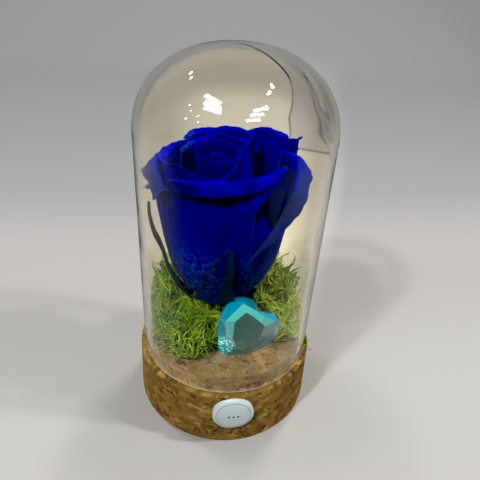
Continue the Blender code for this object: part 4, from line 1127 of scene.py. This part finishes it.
def moss_material():
    """Dyed moss: lime to green by strand, dark at the root as painted shade deep in the clump, and paler in the clump
    at the right as painted light on that side.
    """
    material, tree, shader = new_material("moss_lime", Roughness=0.75, Specular_IOR_Level=0.25)
    tone, along, _ = split(layer(tree, "strand"))
    place = texture_place(tree)
    across = split(place)[0]
    # painted light: the clump at the right is paler, as if lit more on that side
    pale = times(spread(across, 0.004, 0.012, 0.0, 0.42), spread(across, 0.0295, 0.0285))
    # the dark root colour is painted shade deep in the clump
    colour = painted(
        mix(tone, (0.26, 0.52, 0.006), (0.74, 1.0, 0.035)),
        (spread(clouds(place, 150.0, 3.0, 0.6), 0.35, 0.68, 0.0, 0.6), (0.50, 0.84, 0.012)),
        (spread(along, 0.45, 0.0, 0.0, 0.85), (0.030, 0.075, 0.0)), (pale, (0.98, 1.0, 0.20)))
    feed(shader, Base_Color=colour)
    return material


def make_sprig(material):
    """The scrap of moss on the ledge beside the glass."""
    angle, far, high = np.array(SPRIG).T
    main = curve_through(polar(far, np.radians(angle), high) * MM, np.linspace(0, 1, 14))
    strands = [tubes(main[None], np.array([SPRIG_RADIUS]))]
    steps = [main[3:13:3]]
    count = len(steps[0])
    way = unit(chance.normal(size=(count, 3)) * (1.0, 0.7, 0.7) + (0.5, -0.5, 0.3))
    bend = chance.normal(size=(count, 3)) * 0.5
    for _ in range(SPRIG_STEPS):
        way = unit(way + bend / SPRIG_STEPS)
        tip = steps[-1] + way * SPRIG_TWIG_STEP
        far = np.hypot(tip[:, 0], tip[:, 1])
        tip[:, :2] *= np.maximum(1.0, 30.3 * MM / far)[:, None]
        tip[:, 2] = np.maximum(tip[:, 2], CORK_LEDGE_HEIGHT + 0.2 * MM)
        steps.append(tip)
    strands.append(tubes(np.stack(steps, axis=1), np.full(count, SPRIG_TWIG_RADIUS)))
    points, faces, strand = joined([(points, quads, vectors(0.3, run)) for points, quads, run in strands])
    item = mesh_object("sprig_strands", points, faces, material, strand=strand)
    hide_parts("moss_sprig")


# Gem, glue and label

# The gem's outlines as (x, y), and its facets' painted reflection tones as (how light, how clear), station by station
GEM_EDGE = [
    (-0.9, 1.3), (-7.0, 6.3), (-10.4, 11.4), (-11.8, 18.0), (-9.2, 21.6), (-4.4, 22.4), (-1.4, 20.5), (5.3, 22.2),
    (10.4, 17.5), (9.7, 11.3), (7.1, 6.5)]
GEM_CROWN = [
    (-1.2, 5.1), (-5.5, 8.3), (-9.2, 12.3), (-8.4, 20.2), (-6.5, 20.5), (-2.6, 20.6), (0.5, 20.3), (5.7, 21.0),
    (8.0, 16.7), (6.9, 10.5), (4.3, 6.6)]
GEM_TABLE = [
    (-0.7, 7.4), (-3.7, 8.9), (-7.1, 14.2), (-6.2, 18.6), (-5.6, 18.8), (-2.5, 18.7), (1.4, 18.3), (2.6, 17.9),
    (3.8, 14.6), (4.3, 11.9), (2.4, 9.0)]
FLANK_TONES = [
    (0.80, 0.1), (0.15, 0.1), (0.0, 0.1), (0.05, 0.1), (0.25, 0.2), (0.20, 0.2), (0.05, 0.1), (0.10, 0.1),
    (0.18, 0.1), (0.25, 0.1), (0.35, 0.1)]
CROWN_TONES = [
    (0.75, 0.2), (0.92, 0.1), (1.0, 0.05), (0.95, 0.05), (0.98, 0.05), (0.97, 0.05), (0.90, 0.1), (0.45, 0.15),
    (0.40, 0.15), (0.45, 0.15), (0.62, 0.15)]
TABLE_TONE = (0.50, 0.22)
BACK_TONE = (0.5, 0.5)
GEM_MIDDLE = (-0.5, 13.0)
GEM_CUTS = 3
GLINT_SPOT = (-0.0034, -0.0215, 0.0343)


def gem_ring(ring, bent=False):
    """A gem outline with more stations on it, on a smooth curve or on its straight sides."""
    place = np.arange(len(ring) * GEM_CUTS) / GEM_CUTS
    ring = np.array(ring + ring[:1], float)
    if bent:
        ring = np.concatenate([ring[-3:-1], ring, ring[1:3]])
        return curve_through(ring, (2.0 + place) / (len(ring) - 1))
    index = place.astype(int)
    return ring[index] + (ring[index + 1] - ring[index]) * (place - index)[:, None]


def make_gem():
    """The cut gem: a table, a crown of broad facets, narrow flank facets, a girdle and a faceted back."""
    edge, back, middle = gem_ring(GEM_EDGE, bent=True), gem_ring(GEM_EDGE), np.array(GEM_MIDDLE)
    count = len(edge)
    deep = HEART_THICK / MM / 2
    rings = [(gem_ring(GEM_TABLE), deep), (gem_ring(GEM_CROWN), 0.58 * deep), (edge, 0.14 * deep), (edge, -0.12 * deep),
             (middle + (back - middle) * 0.66, -0.72 * deep), (middle + (back - middle) * 0.30, -deep)]
    points = [np.concatenate([flat, np.full((count, 1), high)], axis=1) for flat, high in rings]
    points = np.concatenate(points + [[(*rings[0][0].mean(axis=0), deep)], [(*middle, -deep)]]) * MM
    last = len(rings) - 1
    table_middle, back_middle = len(rings) * count, len(rings) * count + 1
    triangles, tones = [], []

    def facet(corners, tone):
        """Add a triangle in one tone."""
        triangles.append(corners)
        tones.extend([tone] * 3)

    for row, band in enumerate((CROWN_TONES, FLANK_TONES, None, None, None)):
        for i in range(count):
            j = (i + 1) % count
            tone = band[i // GEM_CUTS] if band else (0.1 + 0.5 * lattice(i // 2, row, 3, 9), 0.2)
            upper, lower = row * count, (row + 1) * count
            facet((upper + i, lower + i, lower + j), tone)
            facet((upper + i, lower + j, upper + j), tone)
    for i in range(count):
        j = (i + 1) % count
        facet((i, j, table_middle), TABLE_TONE)
        facet((last * count + j, last * count + i, back_middle), BACK_TONE)
    item = mesh_object("gem", placed(points, heart_matrix()), triangles, gem_material(), smooth=False, facet=tones)
    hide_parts("heart_gem")


def gem_material():
    """Clear turquoise acrylic with painted reflections: each facet is painted a light, a dark or a saturated tone of
    what it mirrors inside, the whole gem glows faintly as painted light, and small cells near the tip glow as painted
    glints."""
    # the emission is painted light: the gem glows faintly in its own colour
    material, tree, shader = new_material("gem_turquoise", Roughness=0.02, IOR=1.5, Emission_Strength=0.16)
    light, clear, _ = split(layer(tree, "facet"))
    place = texture_place(tree)
    tone = maths("ADD", light, spread(clouds(place, 260.0, 3.0), 0.3, 0.7, -0.05, 0.05))
    # painted glints: small glowing cells near the tip, in a lighter cyan patch
    cells = split(node(tree, "TexVoronoi", Vector=place, Scale=1900.0).outputs["Color"])[0]
    near = spread(distance_to(GLINT_SPOT, place), 0.0046, 0.0034)
    painted_glint = times(spread(cells, 0.66, 0.70), near)
    colour = painted(
        mix(spread(tone, 0.0, 0.5), (0.0, 0.46, 0.86), (0.003, 0.115, 0.095)),
        (spread(tone, 0.5, 1.0), (0.16, 0.90, 0.92)), (near, (0.0, 0.50, 0.62)), (painted_glint, (0.30, 0.92, 1.0)))
    feed(shader, Base_Color=colour, Emission_Color=mix(painted_glint, colour, (1.0, 4.0, 5.0)), Transmission_Weight=clear)
    clear_shadow(shader)
    return material


LABEL_RADIUS, LABEL_THICK, LABEL_EDGE = 6.9 * MM, 1.9 * MM, 0.7 * MM
LABEL_AROUND = 120
RING_PLACE = 0.84
DOT_PLACES = (-0.22, 0.0, 0.22)


def make_label():
    """The domed round sticker, its back against the cork, with a thin plain ring and three dots as its mark."""
    dome = [(LABEL_RADIUS * math.sin(turn), LABEL_EDGE + (LABEL_THICK - LABEL_EDGE) * math.cos(turn))
            for turn in 0.5 * math.pi * np.linspace(0.0, 1.0, 30)]
    dome[0] = (0.00001, LABEL_THICK)
    profile = np.array(dome + [(LABEL_RADIUS, LABEL_EDGE * 0.5), (LABEL_RADIUS, 0.0)])
    x = profile[:, :1] * np.cos(circle(LABEL_AROUND))
    z = profile[:, :1] * np.sin(circle(LABEL_AROUND))
    bow = CORK_BOTTOM_RADIUS - np.sqrt(CORK_BOTTOM_RADIUS ** 2 - x ** 2)
    face = LABEL_BACK + profile[:, 1:] + 0.0 * x
    face = np.where(profile[:, 1:] <= LABEL_EDGE * 0.5, face - bow, face)
    faces = grid_faces(len(profile), LABEL_AROUND, closed=True)
    item = mesh_object("label", vectors(x, -face, LABEL_HEIGHT + z), faces, label_material(),
                       face=vectors(x / LABEL_RADIUS, z / LABEL_RADIUS))
    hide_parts("label_disc")


def label_material():
    """White gloss with a thin grey ring and three small blue dots."""
    material, tree, shader = new_material("label_gloss", Roughness=0.18, Coat_Weight=0.8, Coat_Roughness=0.05)
    place = layer(tree, "face")
    colour = mix(spread(clouds(texture_place(tree), 500.0, 2.0), 0.4, 0.6), (0.64, 0.75, 0.765), (0.67, 0.78, 0.79))
    ring = spread(away_from(distance_to((0.0, 0.0, 0.0), place), RING_PLACE), 0.012, 0.022, 1.0, 0.0)
    colour = mix(ring, colour, (0.30, 0.32, 0.36))
    for x in DOT_PLACES:
        dot = spread(distance_to((x, 0.0, 0.0), place), 0.055, 0.070, 1.0, 0.0)
        colour = mix(dot, colour, (0.02, 0.03, 0.30))
    feed(shader, Base_Color=colour)
    return material


GLUE_MIDDLE, GLUE_SIZE = (-4.0, -18.8, 28.2), (3.8, 2.5, 1.9)
GLUE_ROWS, GLUE_AROUND = 36, 56


def make_glue():
    """The clear hot glue that the gem's tip is set in."""
    ball = ball_points(np.linspace(0.02, 0.98, GLUE_ROWS)[:, None] * math.pi, GLUE_AROUND)
    uneven = (1.0 + 0.16 * rough_noise(ball * 1.7 + 9.0, 61, 2))[..., None]
    points = np.array(GLUE_MIDDLE) * MM + ball * np.array(GLUE_SIZE) * MM * uneven
    points[..., 2] = np.maximum(points[..., 2], PLUG_TOP + 0.1 * MM)
    material, tree, shader = new_material("glue_clear", Roughness=0.12, Base_Color=(0.93, 0.94, 0.92, 1.0),
                                          Transmission_Weight=0.93, IOR=1.15)
    bumped(shader, clouds(texture_place(tree), 700.0, 2.0), 0.3, 0.0003)
    clear_shadow(shader)
    item = mesh_object("glue", points, grid_faces(GLUE_ROWS, GLUE_AROUND, closed=True), material)
    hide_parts("glue_blob")


def main():
    """Build everything."""
    scene = bpy.context.scene
    scene.view_settings.view_transform = "Standard"
    scene.view_settings.use_curve_mapping = True
    scene.view_settings.curve_mapping.black_level = (0.010, 0.009, 0.004)
    scene.view_settings.curve_mapping.update()
    scene.cycles.caustics_refractive = False
    scene.cycles.caustics_reflective = False
    make_camera()
    make_floor()
    make_lights()
    make_cork()
    make_dome()
    make_bloom()
    make_stem()
    green = moss_material()
    for name, (heaps, count) in MOSS.items():
        make_moss(name, heaps, count, green)
    make_sprig(green)
    make_gem()
    make_glue()
    make_label()
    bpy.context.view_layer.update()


main()
